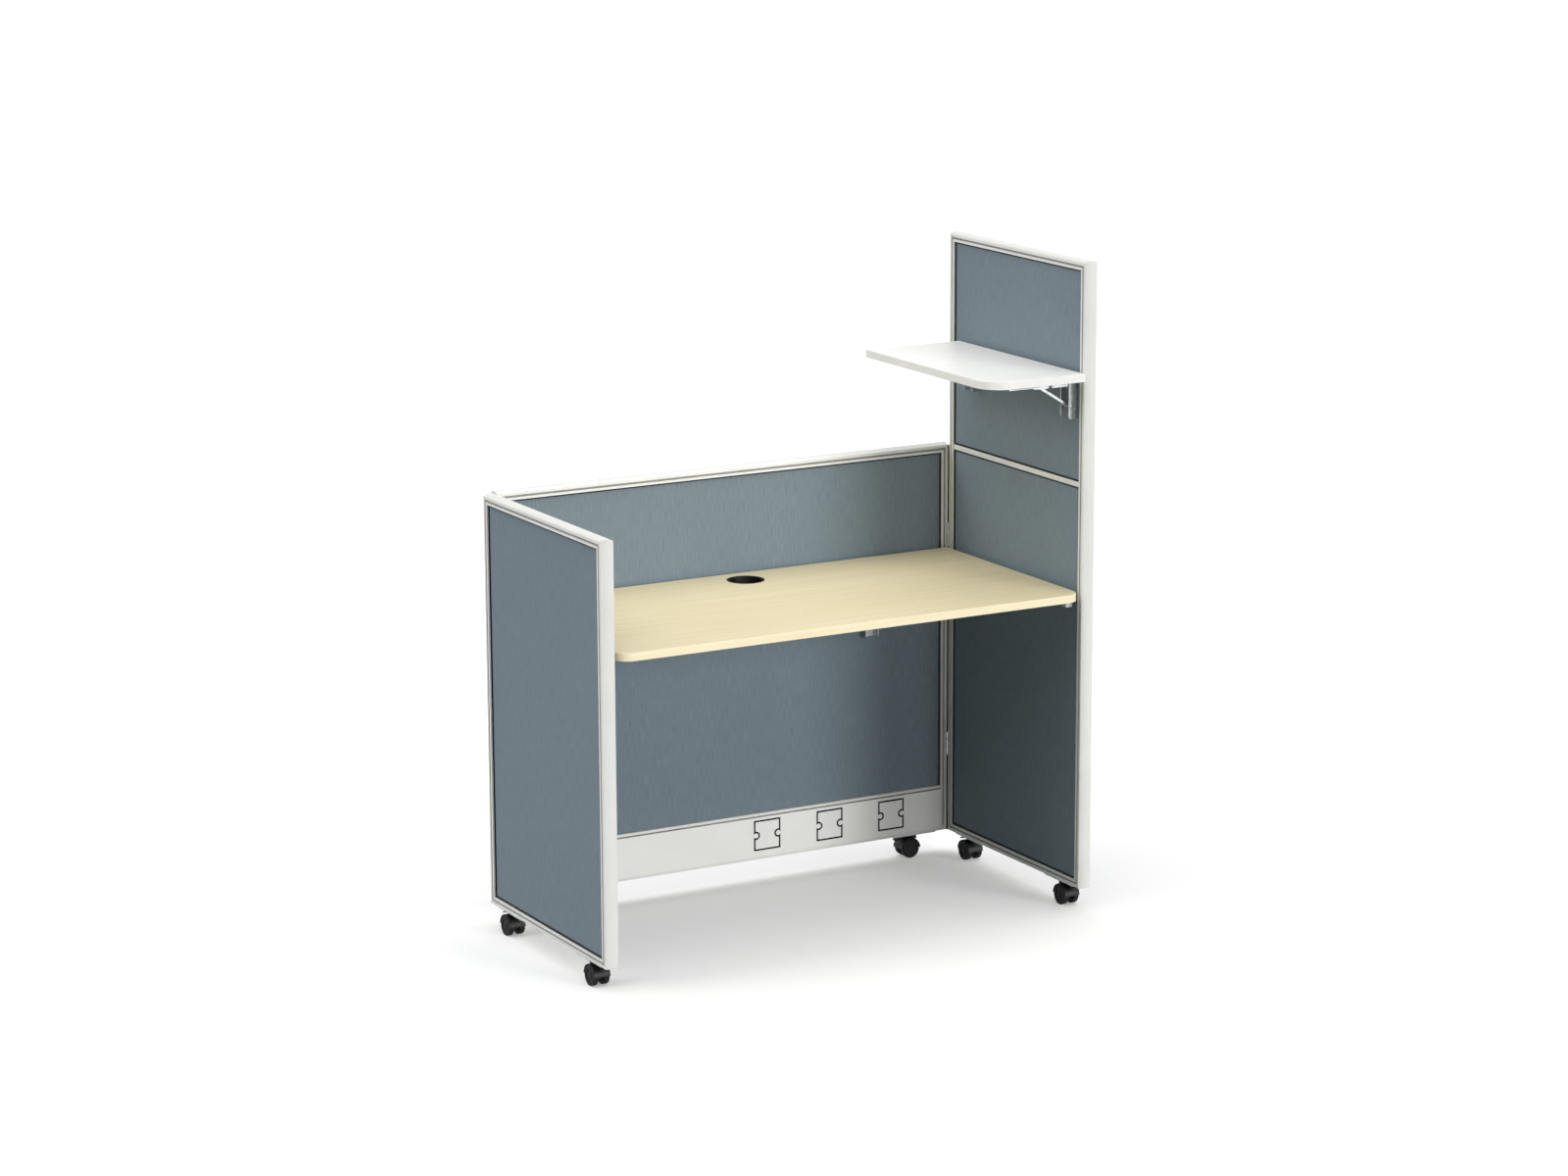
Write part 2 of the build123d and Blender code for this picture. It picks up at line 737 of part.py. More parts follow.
def caster_plane(name):
    """Upright plane through a caster's swivel axis: X along the trail, Y up, origin on the floor."""
    (place_x, place_y), (trail_x, trail_y) = casters[name]
    return Plane(origin=(place_x, place_y, 0), x_dir=(trail_x, trail_y, 0), z_dir=(trail_y, -trail_x, 0))


def floor_plane(name):
    """Flat plane on the floor with the same origin and the same X direction."""
    plane = caster_plane(name)
    return Plane(origin=plane.origin, x_dir=plane.x_dir, z_dir=plane.y_dir)


def make_caster_plates(panel):
    """The two caster plates of a panel, each with a bore for the stem of a housing."""
    with BuildPart() as plates:
        for name in casters:
            if not name.startswith(panel):
                continue
            with BuildSketch(floor_plane(name).offset(panel_bottom - plate_sheet)):
                RectangleRounded(plate_length, plate_width, plate_corner)
                Circle(stem_diameter / 2 + stem_clearance, mode=Mode.SUBTRACT)
            extrude(amount=plate_sheet)
    finish(plates, f"{panel}_caster_plates")


def make_housing(name):
    """Housing of a caster: a web between the wheels, a hood over them, a neck, a boss and its stem."""
    plane = caster_plane(name)
    centre = (trail, wheel_radius)
    hood_inner = wheel_radius + hood_gap
    hood_outer = hood_inner + hood_sheet
    web_side = wheel_gap / 2 - web_clearance
    below_axle = (trail, wheel_radius - hood_outer)
    with BuildPart() as housing:
        with BuildSketch(plane):
            with Locations(centre):
                Circle(hood_outer)
                Circle(hood_inner, mode=Mode.SUBTRACT)
            with Locations(below_axle):
                Rectangle(2 * hood_outer, 2 * hood_outer, mode=Mode.SUBTRACT)
        extrude(amount=caster_half_width, both=True)
        with BuildSketch(plane):
            with Locations(centre):
                Circle(hood_inner)
            with Locations(below_axle):
                Rectangle(2 * hood_outer, 2 * hood_outer, mode=Mode.SUBTRACT)
            with Locations(centre):
                Circle(hub_radius)
            with Locations(((neck_length - boss_radius) / 2, housing_top - neck_height / 2)):
                Rectangle(neck_length + boss_radius, neck_height)
        extrude(amount=web_side, both=True)
        with BuildSketch(floor_plane(name).offset(housing_top)):
            Circle(boss_radius)
        extrude(amount=-boss_height)
        with BuildSketch(floor_plane(name).offset(housing_top)):
            Circle(stem_diameter / 2)
        extrude(amount=plate_sheet)
        with BuildSketch(plane):
            with Locations(centre):
                Circle(axle_diameter / 2 + axle_clearance)
            with Locations(lever_pin_place):
                Circle(lever_pin_radius + pin_clearance)
        extrude(amount=caster_half_width, both=True, mode=Mode.SUBTRACT)
    finish(housing, f"{name}_caster_housing")


def make_wheels(name):
    """The pair of wheels of a caster, pressed on their axle."""
    plane = caster_plane(name)
    centre = (trail, wheel_radius)
    with BuildPart() as wheels:
        for face in (1, -1):
            with BuildSketch(plane.offset(face * wheel_gap / 2)):
                with Locations(centre):
                    Circle(wheel_radius)
            extrude(amount=face * wheel_width)
        fillet(wheels.edges().filter_by(GeomType.CIRCLE), wheel_rounding)
        for face in (1, -1):
            with BuildSketch(plane.offset(face * (caster_half_width - hub_recess))):
                with Locations(centre):
                    Circle(hub_radius)
            extrude(amount=face * (hub_recess + overrun), mode=Mode.SUBTRACT)
        with BuildSketch(plane):
            with Locations(centre):
                Circle(axle_diameter / 2)
        extrude(amount=caster_half_width, both=True)
    finish(wheels, f"{name}_caster_wheels")


def make_lever(name):
    """Brake lever of a caster: a pad over the hood and a fork that pivots on the neck."""
    plane = caster_plane(name)
    pin_x, pin_z = lever_pin_place
    tip_x, tip_z = lever_tip
    half = lever_sheet / 2
    with BuildPart() as lever:
        with BuildSketch(plane):
            Polygon(
                (lever_start, pin_z - half),
                (lever_bend, pin_z - half),
                (tip_x, tip_z - half),
                (tip_x, tip_z + half),
                (lever_bend, pin_z + half),
                (lever_start, pin_z + half),
                align=None,
            )
        extrude(amount=lever_width / 2, both=True)
        with BuildSketch(plane):
            with Locations(((lever_start + lever_fork_end - overrun) / 2, pin_z)):
                Rectangle(lever_fork_end - lever_start + overrun, lever_sheet + overrun)
        extrude(amount=lever_fork_gap / 2, both=True, mode=Mode.SUBTRACT)
        for face in (1, -1):
            with BuildSketch(plane.offset(face * lever_fork_gap / 2)):
                with Locations(lever_pin_place):
                    Circle(lever_pin_radius)
            extrude(amount=-face * lever_pin_reach)
    finish(lever, f"{name}_caster_lever")


for panel_name in ("back", "left", "right"):
    make_caster_plates(panel_name)
for caster_name in casters:
    make_housing(caster_name)
    make_wheels(caster_name)
    make_lever(caster_name)
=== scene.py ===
"""Dressed model of a folding desk booth: three cloth panels on casters, a desktop and a shelf.

Lengths are in millimetres and angles in degrees, except where a comment or docstring says
otherwise. The meshes are in metres, and each stands where its piece stands at rest.
"""

import logging
import math
from dataclasses import dataclass
from enum import Enum
from typing import Mapping, Sequence

import bmesh
import bpy
from mathutils import Matrix, Vector


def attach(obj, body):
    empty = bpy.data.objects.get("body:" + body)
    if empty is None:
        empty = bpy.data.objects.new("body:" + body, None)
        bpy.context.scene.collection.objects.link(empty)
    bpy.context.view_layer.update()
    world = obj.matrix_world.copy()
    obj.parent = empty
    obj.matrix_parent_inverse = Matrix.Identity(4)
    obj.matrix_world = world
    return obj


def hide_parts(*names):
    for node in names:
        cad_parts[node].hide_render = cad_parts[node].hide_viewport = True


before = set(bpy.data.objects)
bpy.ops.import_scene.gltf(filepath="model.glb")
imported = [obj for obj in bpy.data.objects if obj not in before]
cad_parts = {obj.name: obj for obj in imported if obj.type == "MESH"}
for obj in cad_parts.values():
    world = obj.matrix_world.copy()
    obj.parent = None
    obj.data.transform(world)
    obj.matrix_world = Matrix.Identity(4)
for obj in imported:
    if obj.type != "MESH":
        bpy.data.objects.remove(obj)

Tree = bpy.types.NodeTree
Node = bpy.types.Node
Socket = bpy.types.NodeSocket
Mesh = bmesh.types.BMesh
Pair = tuple[float, float]
Outline = Sequence[Pair]
Triple = tuple[float, float, float]

log = logging.getLogger("desk_booth")

MM = 0.001
PHOTO_WIDTH = 1600
SENSOR = 36.0
# A noise texture's value nearly always lies between these two.
NOISE_LOW = 0.24
NOISE_HIGH = 0.76
# Radians that a wave texture of scale 1 goes through in a metre.
WAVE_TURN = 20.0
# Distance in metres below which two vertices are one.
MERGED = 1e-6
# Edges sharper than this stay sharp in the shading.
SHARP_ANGLE = 35.0
# Middles of the panels, and where the casters stand along them.
BACK_MIDDLE = 291.0
SIDE_MIDDLE = 605.0
FRONT_CASTER_Y = -211.0
REAR_CASTER_Y = 181.0
BACK_CASTER_X = 500.0
# Frames of the folding brackets: X points out of the back or the right panel, Y up.
OUT_OF_BACK = Matrix(((0, 0, -1), (-1, 0, 0), (0, 1, 0))).to_4x4()
OUT_OF_RIGHT = Matrix(((-1, 0, 0), (0, 0, 1), (0, 1, 0))).to_4x4()


class Slot(Enum):
    """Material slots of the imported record."""

    EXTRUSION = "frame_extrusion"
    TRIM = "domed_trim"
    CLOTH = "grey_fabric"
    RACEWAY = "raceway_steel"
    GALVANISED = "galvanised_steel"
    BRACKET = "bracket_steel"
    RUBBER = "black_rubber"
    MAPLE = "maple_laminate"
    MAPLE_EDGE = "maple_edging"
    WHITE = "white_laminate"
    WHITE_EDGE = "white_edging"
    BLACK = "black_plastic"
    GREY = "grey_plastic"


def linear(colour: str) -> tuple[float, float, float, float]:
    """Turn an sRGB hex colour to linear.

    Args:
        colour: Six hex digits, with or without a leading hash.

    Returns:
        Linear red, green and blue, with full opacity.
    """
    digits = colour.lstrip("#")
    values = [int(digits[place:place + 2], 16) / 255 for place in (0, 2, 4)]
    red, green, blue = (v / 12.92 if v <= 0.04045 else ((v + 0.055) / 1.055) ** 2.4 for v in values)
    return red, green, blue, 1.0


# Shader nodes


def empty_tree(owner: bpy.types.ID) -> Tree:
    """Give a new material or world a node tree without nodes."""
    owner.use_nodes = True
    owner.node_tree.nodes.clear()
    return owner.node_tree


def add_node(
    tree: Tree, kind: str, inputs: Mapping[str | int, object] | None = None, **settings: object
) -> Node:
    """Add a node with its settings and links.

    Args:
        tree: Node tree of a material or the world.
        kind: Node type, such as ShaderNodeBump.
        inputs: Values, or output sockets to link, by the input's name or place.
        **settings: The node's own attributes.

    Returns:
        The new node.
    """
    node = tree.nodes.new(kind)
    for name, value in settings.items():
        setattr(node, name, value)
    for key, value in (inputs or {}).items():
        if isinstance(value, Socket):
            tree.links.new(value, node.inputs[key])
        else:
            node.inputs[key].default_value = value
    return node


def maths(tree: Tree, operation: str, first: object, second: object) -> Socket:
    """Combine two values, given as numbers or sockets, by an operation such as ADD."""
    return add_node(tree, "ShaderNodeMath", {0: first, 1: second}, operation=operation).outputs[0]


def mottle(tree: Tree, place: Socket, sizes: Sequence[float], detail: float = 2.0) -> Socket:
    """Make noise whose blotches have the given sizes.

    Args:
        tree: Tree of the material.
        place: Coordinates in metres.
        sizes: Length of a blotch along X, Y and Z.
        detail: Octaves of finer noise.

    Returns:
        The noise value, nearly always between NOISE_LOW and NOISE_HIGH.
    """
    scale = tuple(1 / (size * MM) for size in sizes)
    scaled = add_node(tree, "ShaderNodeMapping", {"Vector": place, "Scale": scale})
    noise = add_node(tree, "ShaderNodeTexNoise", {
        "Vector": scaled.outputs["Vector"], "Scale": 1.0, "Detail": detail, "Roughness": 0.55,
    })
    return noise.outputs["Fac"]


def spread(tree: Tree, value: Socket, low: float = 0.0, high: float = 1.0) -> Socket:
    """Map a noise value to the range from low to high, with soft ends."""
    mapped = add_node(tree, "ShaderNodeMapRange", {
        "Value": value, "From Min": NOISE_LOW, "From Max": NOISE_HIGH, "To Min": low, "To Max": high,
    }, interpolation_type="SMOOTHSTEP")
    return mapped.outputs["Result"]


def mixed(tree: Tree, factor: Socket, first: str | Socket, second: str | Socket) -> Socket:
    """Mix two colours.

    Args:
        tree: Tree of the material.
        factor: 0 for the first colour, 1 for the second.
        first: A hex colour or a socket.
        second: A hex colour or a socket.

    Returns:
        The mixed colour.
    """
    mix = add_node(tree, "ShaderNodeMix", data_type="RGBA")
    for name, value in (("Factor_Float", factor), ("A_Color", first), ("B_Color", second)):
        target = next(socket for socket in mix.inputs if socket.identifier == name)
        if isinstance(value, str):
            target.default_value = linear(value)
        else:
            tree.links.new(value, target)
    return next(socket for socket in mix.outputs if socket.identifier == "Result_Color")


def bump(tree: Tree, shader: Node, height: Socket, depth: float, strength: float) -> None:
    """Raise the surface by a height value over a depth in millimetres."""
    raised = add_node(tree, "ShaderNodeBump", {
        "Height": height, "Distance": depth * MM, "Strength": strength,
    })
    tree.links.new(raised.outputs["Normal"], shader.inputs["Normal"])


# Finishes


@dataclass(frozen=True)
class Finish:
    """A surface finish; each kind adds its own pattern to the shader."""

    name: str
    slot: Slot
    colour: str
    roughness: float
    metallic: float = 0.0
    ior: float = 1.5
    sheen: float = 0.0

    def material(self) -> bpy.types.Material:
        """Give the finish's material, made the first time that it is asked for.

        Returns:
            The node material.
        """
        found = bpy.data.materials.get(self.name)
        if found:
            return found
        material = bpy.data.materials.new(self.name)
        material.diffuse_color = linear(self.colour)
        tree = empty_tree(material)
        shader = add_node(tree, "ShaderNodeBsdfPrincipled", {
            "Roughness": self.roughness,
            "Metallic": self.metallic,
            "IOR": self.ior,
            "Sheen Weight": self.sheen,
            "Sheen Roughness": 0.5,
        })
        place = add_node(tree, "ShaderNodeTexCoord").outputs["Object"]
        tree.links.new(self.pattern(tree, shader, place), shader.inputs["Base Color"])
        add_node(tree, "ShaderNodeOutputMaterial", {"Surface": shader.outputs["BSDF"]})
        return material

    def gloss(self, tree: Tree, shader: Node, value: Socket, below: float, above: float) -> None:
        """Let a noise value swing the roughness from below to above the finish's own."""
        swung = spread(tree, value, self.roughness - below, self.roughness + above)
        tree.links.new(swung, shader.inputs["Roughness"])

    def pattern(self, tree: Tree, shader: Node, place: Socket) -> Socket:
        """Add the finish's own gloss and relief, and work out its colour.

        Args:
            tree: Tree of the material.
            shader: Its shader node.
            place: Object coordinates in metres.

        Returns:
            The colour.
        """
        raise NotImplementedError


@dataclass(frozen=True)
class EvenFinish(Finish):
    """A finish of nearly one colour, with fine grains and faint patches of a second tone."""

    shade: str = "#DADBD6"
    tone: Triple = (90.0, 90.0, 90.0)
    tone_detail: float = 2.0
    grain: Triple = (1.2, 1.2, 1.2)
    grain_detail: float = 1.0
    # Patches of gloss, where the gloss doesn't follow the grains.
    dull: Triple | None = None
    # How far the roughness goes down and up, and the depth and strength of the relief.
    swing: Pair = (0.04, 0.04)
    relief: Pair = (0.04, 0.5)

    def pattern(self, tree: Tree, shader: Node, place: Socket) -> Socket:
        """Add the grains with their gloss and relief, and the patches of tone."""
        grains = mottle(tree, place, self.grain, self.grain_detail)
        patches = mottle(tree, place, self.dull) if self.dull else grains
        self.gloss(tree, shader, patches, *self.swing)
        bump(tree, shader, grains, *self.relief)
        tone = spread(tree, mottle(tree, place, self.tone, self.tone_detail))
        return mixed(tree, tone, self.shade, self.colour)


@dataclass(frozen=True)
class PowderCoat(EvenFinish):
    """Satin polyester powder on aluminium or steel: even, slightly dimpled, soft highlights."""

    dull: Triple | None = (30.0, 30.0, 30.0)


@dataclass(frozen=True)
class PlainLaminate(EvenFinish):
    """White melamine board or its edge band: even, with a fine pressed pearl texture."""

    shade: str = "#EDEDEA"
    tone: Triple = (70.0, 70.0, 70.0)
    grain: Triple = (0.9, 0.9, 0.9)
    swing: Pair = (0.03, 0.05)
    relief: Pair = (0.03, 0.4)


@dataclass(frozen=True)
class ZincPlate(EvenFinish):
    """Bright zinc on pressed or rolled steel: silver, with drawn streaks and dull patches."""

    tone: Triple = (14.0, 14.0, 14.0)
    tone_detail: float = 3.0
    grain: Triple = (3.0, 3.0, 60.0)
    grain_detail: float = 2.0
    metallic: float = 1.0
    swing: Pair = (0.08, 0.12)
    relief: Pair = (0.02, 0.4)


@dataclass(frozen=True)
class MouldedPlastic(EvenFinish):
    """Injection-moulded plastic: the fine spark-eroded grain of its mould and slight flow marks."""

    tone: Triple = (18.0, 18.0, 9.0)
    grain: Triple = (0.5, 0.5, 0.5)
    grain_detail: float = 2.0
    swing: Pair = (0.06, 0.08)


@dataclass(frozen=True)
class SoftPlastic(MouldedPlastic):
    """Rubber, foam or tread with a coarser grain, and little shine."""

    grain: Triple = (0.8, 0.8, 0.8)
    ior: float = 1.33


@dataclass(frozen=True)
class WovenCloth(Finish):
    """Polyester panel cloth with a linen look: slubs in the upright yarns, matt, a little sheen."""

    light: str = "#7D8C95"
    dark: str = "#697780"
    # The real yarns stand 0.5 mm apart; they are drawn wider so that they show.
    yarn: Triple = (1.28, 14.4, 1.0)
    slub: Triple = (1.9, 34.0, 1.0)
    cloud: Triple = (160.0, 260.0, 1.0)
    ripple: float = 10.053
    relief: float = 0.35

    def pattern(self, tree: Tree, shader: Node, place: Socket) -> Socket:
        """Add the slubs, the fine yarns, soft ripples and the relief of slubs and ripples."""
        parts = add_node(tree, "ShaderNodeSeparateXYZ", {"Vector": place}).outputs
        across = maths(tree, "ADD", parts["X"], parts["Y"])
        flat = add_node(tree, "ShaderNodeCombineXYZ", {"X": across, "Y": parts["Z"]}).outputs["Vector"]
        slubs = mottle(tree, flat, self.slub, 3.0)
        scale = math.tau / (WAVE_TURN * self.ripple * MM)
        waves = [
            add_node(tree, "ShaderNodeTexWave", {
                "Vector": flat, "Scale": scale, "Distortion": 0.6, "Detail": 1.0,
            }, bands_direction=direction).outputs["Fac"]
            for direction in ("X", "Y")
        ]
        height = maths(tree, "ADD", slubs, maths(tree, "MULTIPLY", *waves))
        bump(tree, shader, height, depth=self.relief, strength=0.6)
        slubbed = mixed(tree, spread(tree, slubs), self.dark, self.light)
        fine = spread(tree, mottle(tree, flat, self.yarn, 1.0), high=0.45)
        clouds = spread(tree, mottle(tree, flat, self.cloud, 1.0), high=0.12)
        return mixed(tree, clouds, mixed(tree, fine, slubbed, self.colour), self.dark)


@dataclass(frozen=True)
class WoodLaminate(Finish):
    """Melamine board printed with straight-grained maple: long faint streaks along X, satin."""

    light: str = "#F3E7C6"
    dark: str = "#E2D2A4"
    grain_width: float = 9.0
    grain_length: float = 320.0
    figure_width: float = 60.0
    pore: Triple = (26.0, 1.1, 1.1)

    def pattern(self, tree: Tree, shader: Node, place: Socket) -> Socket:
        """Add the printed grain, its pores and the pressed texture."""
        pores = mottle(tree, place, self.pore, 1.0)
        self.gloss(tree, shader, pores, below=0.04, above=0.06)
        bump(tree, shader, pores, depth=0.03, strength=0.35)
        grain = mottle(tree, place, (self.grain_length, self.grain_width, self.grain_width), 4.0)
        figure = mottle(tree, place, (self.grain_length * 2, self.figure_width, self.figure_width))
        grained = mixed(tree, spread(tree, grain), self.dark, self.light)
        figured = mixed(tree, spread(tree, figure, 0.15, 0.75), grained, self.colour)
        return mixed(tree, spread(tree, pores, high=0.18), figured, self.dark)


FRAME_COAT = PowderCoat("powder_coated_aluminium", Slot.EXTRUSION, "#E6E7E3", 0.38, shade="#E0E1DD")
TRIM_COAT = PowderCoat("powder_coated_trim", Slot.TRIM, "#E0E0DC", 0.22, shade="#DBDBD7")
RACEWAY_COAT = PowderCoat("powder_coated_steel_sheet", Slot.RACEWAY, "#F2F2EE", 0.42, shade="#EEEEEA")
PANEL_CLOTH = WovenCloth("linen_look_panel_cloth", Slot.CLOTH, "#74838C", 0.92, sheen=0.08)
MAPLE = WoodLaminate("maple_melamine", Slot.MAPLE, "#EBDDB5", 0.42)
MAPLE_EDGE = WoodLaminate(
    "maple_edge_band", Slot.MAPLE_EDGE, "#F2E6C3", 0.4, light="#F6ECCD", dark="#EBDDB5", grain_width=5.0
)
WHITE_BOARD = PlainLaminate("white_melamine", Slot.WHITE, "#F0F0ED", 0.4)
WHITE_EDGE = PlainLaminate("white_edge_band", Slot.WHITE_EDGE, "#EBEBE7", 0.36, shade="#E7E7E3")
ZINC = ZincPlate("bright_zinc_plated_steel", Slot.BRACKET, "#B9BDBF", 0.42, shade="#9A9EA1")
GALVANISED = ZincPlate("galvanised_steel", Slot.GALVANISED, "#B3B7B9", 0.48, shade="#8F9497")
BLACK_NYLON = MouldedPlastic("black_nylon", Slot.BLACK, "#0B0C0C", 0.46, ior=1.33, shade="#070808")
BLACK_TREAD = SoftPlastic("black_polyurethane", Slot.BLACK, "#0D0D0E", 0.6, shade="#090909")
# Black rubber of the corner strips; the same black is also painted shade in the lines round the socket
# blanks.
BLACK_RUBBER_AND_SHADE = SoftPlastic("black_rubber_and_painted_shade", Slot.RUBBER, "#0B0B0B", 0.75, shade="#070707")
# Painted shade: this dark grey stands for the shadow in the gaps round the tiles.
TILE_GAP_SHADE = SoftPlastic("painted_tile_gap_shade", Slot.RUBBER, "#2C2F31", 0.9, ior=1.3, shade="#232628")
# Painted shade: this mid grey stands for the shadow in the bottoms of the frame's grooves.
GROOVE_SHADE = MouldedPlastic("painted_groove_shade", Slot.GREY, "#909290", 0.6, shade="#868886")
GREY_ABS = MouldedPlastic("grey_abs", Slot.GREY, "#C9CAC8", 0.45, shade="#BDBEBC")


# Meshes


def metres(x: float, y: float, z: float) -> Vector:
    """Give a point in metres that is given in millimetres."""
    return Vector((x, y, z)) * MM


def moved(x: float, y: float, z: float) -> Matrix:
    """Make the matrix that moves by so many millimetres."""
    return Matrix.Translation(metres(x, y, z))


def arc(radius: float, first: float, last: float, steps: int) -> list[Pair]:
    """List points round the origin from one angle to another, both in radians."""
    turns = [first + (last - first) * step / steps for step in range(steps + 1)]
    return [(radius * math.cos(turn), radius * math.sin(turn)) for turn in turns]


def rounded(
    bm: Mesh, width: float, segments: int = 2, angle: float = 28.0, spared: Triple | None = None
) -> None:
    """Round every edge that is sharper than an angle.

    Args:
        bm: Mesh to change.
        width: Width of the rounding.
        segments: Number of faces across it.
        angle: Smallest angle between the faces of an edge that is rounded.
        spared: Middle across, middle along and radius of an upright round hole whose edges
            stay sharp.
    """
    limit = math.radians(angle)
    sharp = [e for e in bm.edges if e.is_manifold and e.calc_face_angle(0.0) > limit]
    if spared:
        middle, reach = Vector(spared[:2]) * MM, spared[2] * MM
        sharp = [e for e in sharp if (e.verts[0].co.xy - middle).length > reach]
    bmesh.ops.bevel(
        bm, geom=sharp, offset=width * MM, offset_type="OFFSET", affect="EDGES", segments=segments,
        profile=0.5, material=-1, clamp_overlap=False, loop_slide=True,
    )


def copy_of(node: str) -> Mesh:
    """Copy a CAD node's mesh with its loose triangles merged into whole faces.

    Args:
        node: Name of the node.

    Returns:
        The merged mesh, in place.
    """
    bm = bmesh.new()
    bm.from_mesh(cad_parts[node].data)
    bmesh.ops.remove_doubles(bm, verts=bm.verts, dist=2 * MERGED)
    bmesh.ops.dissolve_limit(
        bm, angle_limit=math.radians(0.4), use_dissolve_boundaries=False, verts=bm.verts, edges=bm.edges
    )
    return bm


def turned(bm: Mesh, profile: Outline, place: Matrix, steps: int = 24) -> None:
    """Turn a profile round an axis, as on a lathe.

    Args:
        bm: Mesh to add to.
        profile: Radius and height of each point, from one end of the axis to the other.
        place: Where the axis stands: its Z is the axis.
        steps: Number of steps round.
    """
    points = [bm.verts.new(metres(radius, 0, height)) for radius, height in profile]
    lines = [bm.edges.new(pair) for pair in zip(points, points[1:])]
    before = set(bm.verts) - set(points)
    bmesh.ops.spin(
        bm, geom=points + lines, cent=(0, 0, 0), axis=(0, 0, 1), angle=math.tau, steps=steps, use_merge=True
    )
    made = [v for v in bm.verts if v not in before]
    bmesh.ops.remove_doubles(bm, verts=made, dist=MERGED)
    made = [v for v in bm.verts if v not in before]
    bmesh.ops.transform(bm, matrix=place, verts=made)
    faces = list({f for v in made for f in v.link_faces})
    bmesh.ops.recalc_face_normals(bm, faces=faces)


def thickened(part: Mesh, shift: Sequence[float]) -> None:
    """Extrude all faces of a flat mesh.

    Args:
        part: Mesh to change.
        shift: Way from its faces to the new ones.
    """
    grown = bmesh.ops.extrude_face_region(part, geom=list(part.faces))["geom"]
    far = [item for item in grown if isinstance(item, bmesh.types.BMVert)]
    bmesh.ops.translate(part, vec=metres(*shift), verts=far)
    bmesh.ops.recalc_face_normals(part, faces=part.faces)


def join(bm: Mesh, part: Mesh, place: Matrix | None = None) -> None:
    """Add a finished part to a mesh and free it.

    Args:
        bm: Mesh to add to.
        part: The part.
        place: Matrix that moves the part first.
    """
    mesh = bpy.data.meshes.new("joined")
    if place is not None:
        bmesh.ops.transform(part, matrix=place, verts=part.verts)
    part.to_mesh(mesh)
    part.free()
    bm.from_mesh(mesh)
    bpy.data.meshes.remove(mesh)


def block(
    bm: Mesh, low: Sequence[float], high: Sequence[float], rounding: float, segments: int = 2
) -> None:
    """Add a block with rounded edges.

    Args:
        bm: Mesh to add to.
        low: Its lower corner.
        high: Its upper corner.
        rounding: Width of the rounding.
        segments: Number of faces across the rounding.
    """
    size = [h - l for l, h in zip(low, high)]
    middle = [(l + h) / 2 for l, h in zip(low, high)]
    part = bmesh.new()
    bmesh.ops.create_cube(part, size=1.0)
    bmesh.ops.scale(part, vec=metres(*size), verts=part.verts)
    rounded(part, rounding, segments)
    join(bm, part, moved(*middle))


def toward(azimuth: float, elevation: float) -> Vector:
    """Give the direction to something that far round from the front, and that far up."""
    turn, tilt = math.radians(azimuth), math.radians(elevation)
    return Vector((math.sin(turn) * math.cos(tilt), -math.cos(turn) * math.cos(tilt), math.sin(tilt)))


def placed(name: str, data: bpy.types.ID) -> bpy.types.Object:
    """Put an object with the given data into the scene."""
    made = bpy.data.objects.new(name, data)
    bpy.context.scene.collection.objects.link(made)
    return made


def piece(name: str, bm: Mesh, finish: Finish, body: str, replaces: Sequence[str] = ()) -> None:
    """Make an object of a finished mesh, dress it and let it ride on its body.

    Args:
        name: Name of the piece.
        bm: Its mesh in place; freed here.
        finish: Its finish.
        body: CAD body that it moves with.
        replaces: CAD nodes that it stands for.
    """
    mesh = bpy.data.meshes.new(name)
    bm.to_mesh(mesh)
    bm.free()
    for face in mesh.polygons:
        face.use_smooth = True
    mesh.set_sharp_from_angle(angle=math.radians(SHARP_ANGLE))
    mesh.materials.append(finish.material())
    made = placed(name, mesh)
    flat = made.modifiers.new("flat_faces_stay_flat", "WEIGHTED_NORMAL")
    flat.keep_sharp = True
    flat.weight = 50
    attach(made, body)
    if replaces:
        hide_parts(*replaces)
    log.info("%s: %d faces on %s", name, len(mesh.polygons), body)


def solid_boxes(node: str) -> list[tuple[Vector, Vector]]:
    """Find the box of each separate solid of a CAD node.

    Args:
        node: Name of the node.

    Returns:
        The lower and upper corner of each box in millimetres.
    """
    bm = copy_of(node)
    left = set(bm.verts)
    boxes = []
    while left:
        solid = set()
        fresh = [next(iter(left))]
        while fresh:
            vert = fresh.pop()
            if vert not in solid:
                solid.add(vert)
                fresh.extend(edge.other_vert(vert) for edge in vert.link_edges)
        left -= solid
        places = [vert.co / MM for vert in solid]
        boxes.append((
            Vector(min(p[axis] for p in places) for axis in range(3)),
            Vector(max(p[axis] for p in places) for axis in range(3)),
        ))
    bm.free()
    return sorted(boxes, key=lambda box: tuple(box[0]))


def softened_node(node: str, finish: Finish, body: str, width: float, segments: int = 2) -> None:
    """Stand a copy of a CAD node with rounded edges in its place.

    Args:
        node: Name of the node.
        finish: Finish of the copy.
        body: CAD body that it moves with.
        width: Width of the rounding.
        segments: Number of faces across it.
    """
    bm = copy_of(node)
    rounded(bm, width, segments)
    piece(f"{node}_piece", bm, finish, body, (node,))


def dressed_node(node: str, finish: Finish) -> None:
    """Give a CAD node that keeps its own shape a finish.

    Args:
        node: Name of the node.
        finish: Its finish.
    """
    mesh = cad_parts[node].data
    if mesh.materials:
        for place in range(len(mesh.materials)):
            mesh.materials[place] = finish.material()
    else:
        mesh.materials.append(finish.material())
    log.info("%s: keeps its shape", node)


# Sub-assemblies


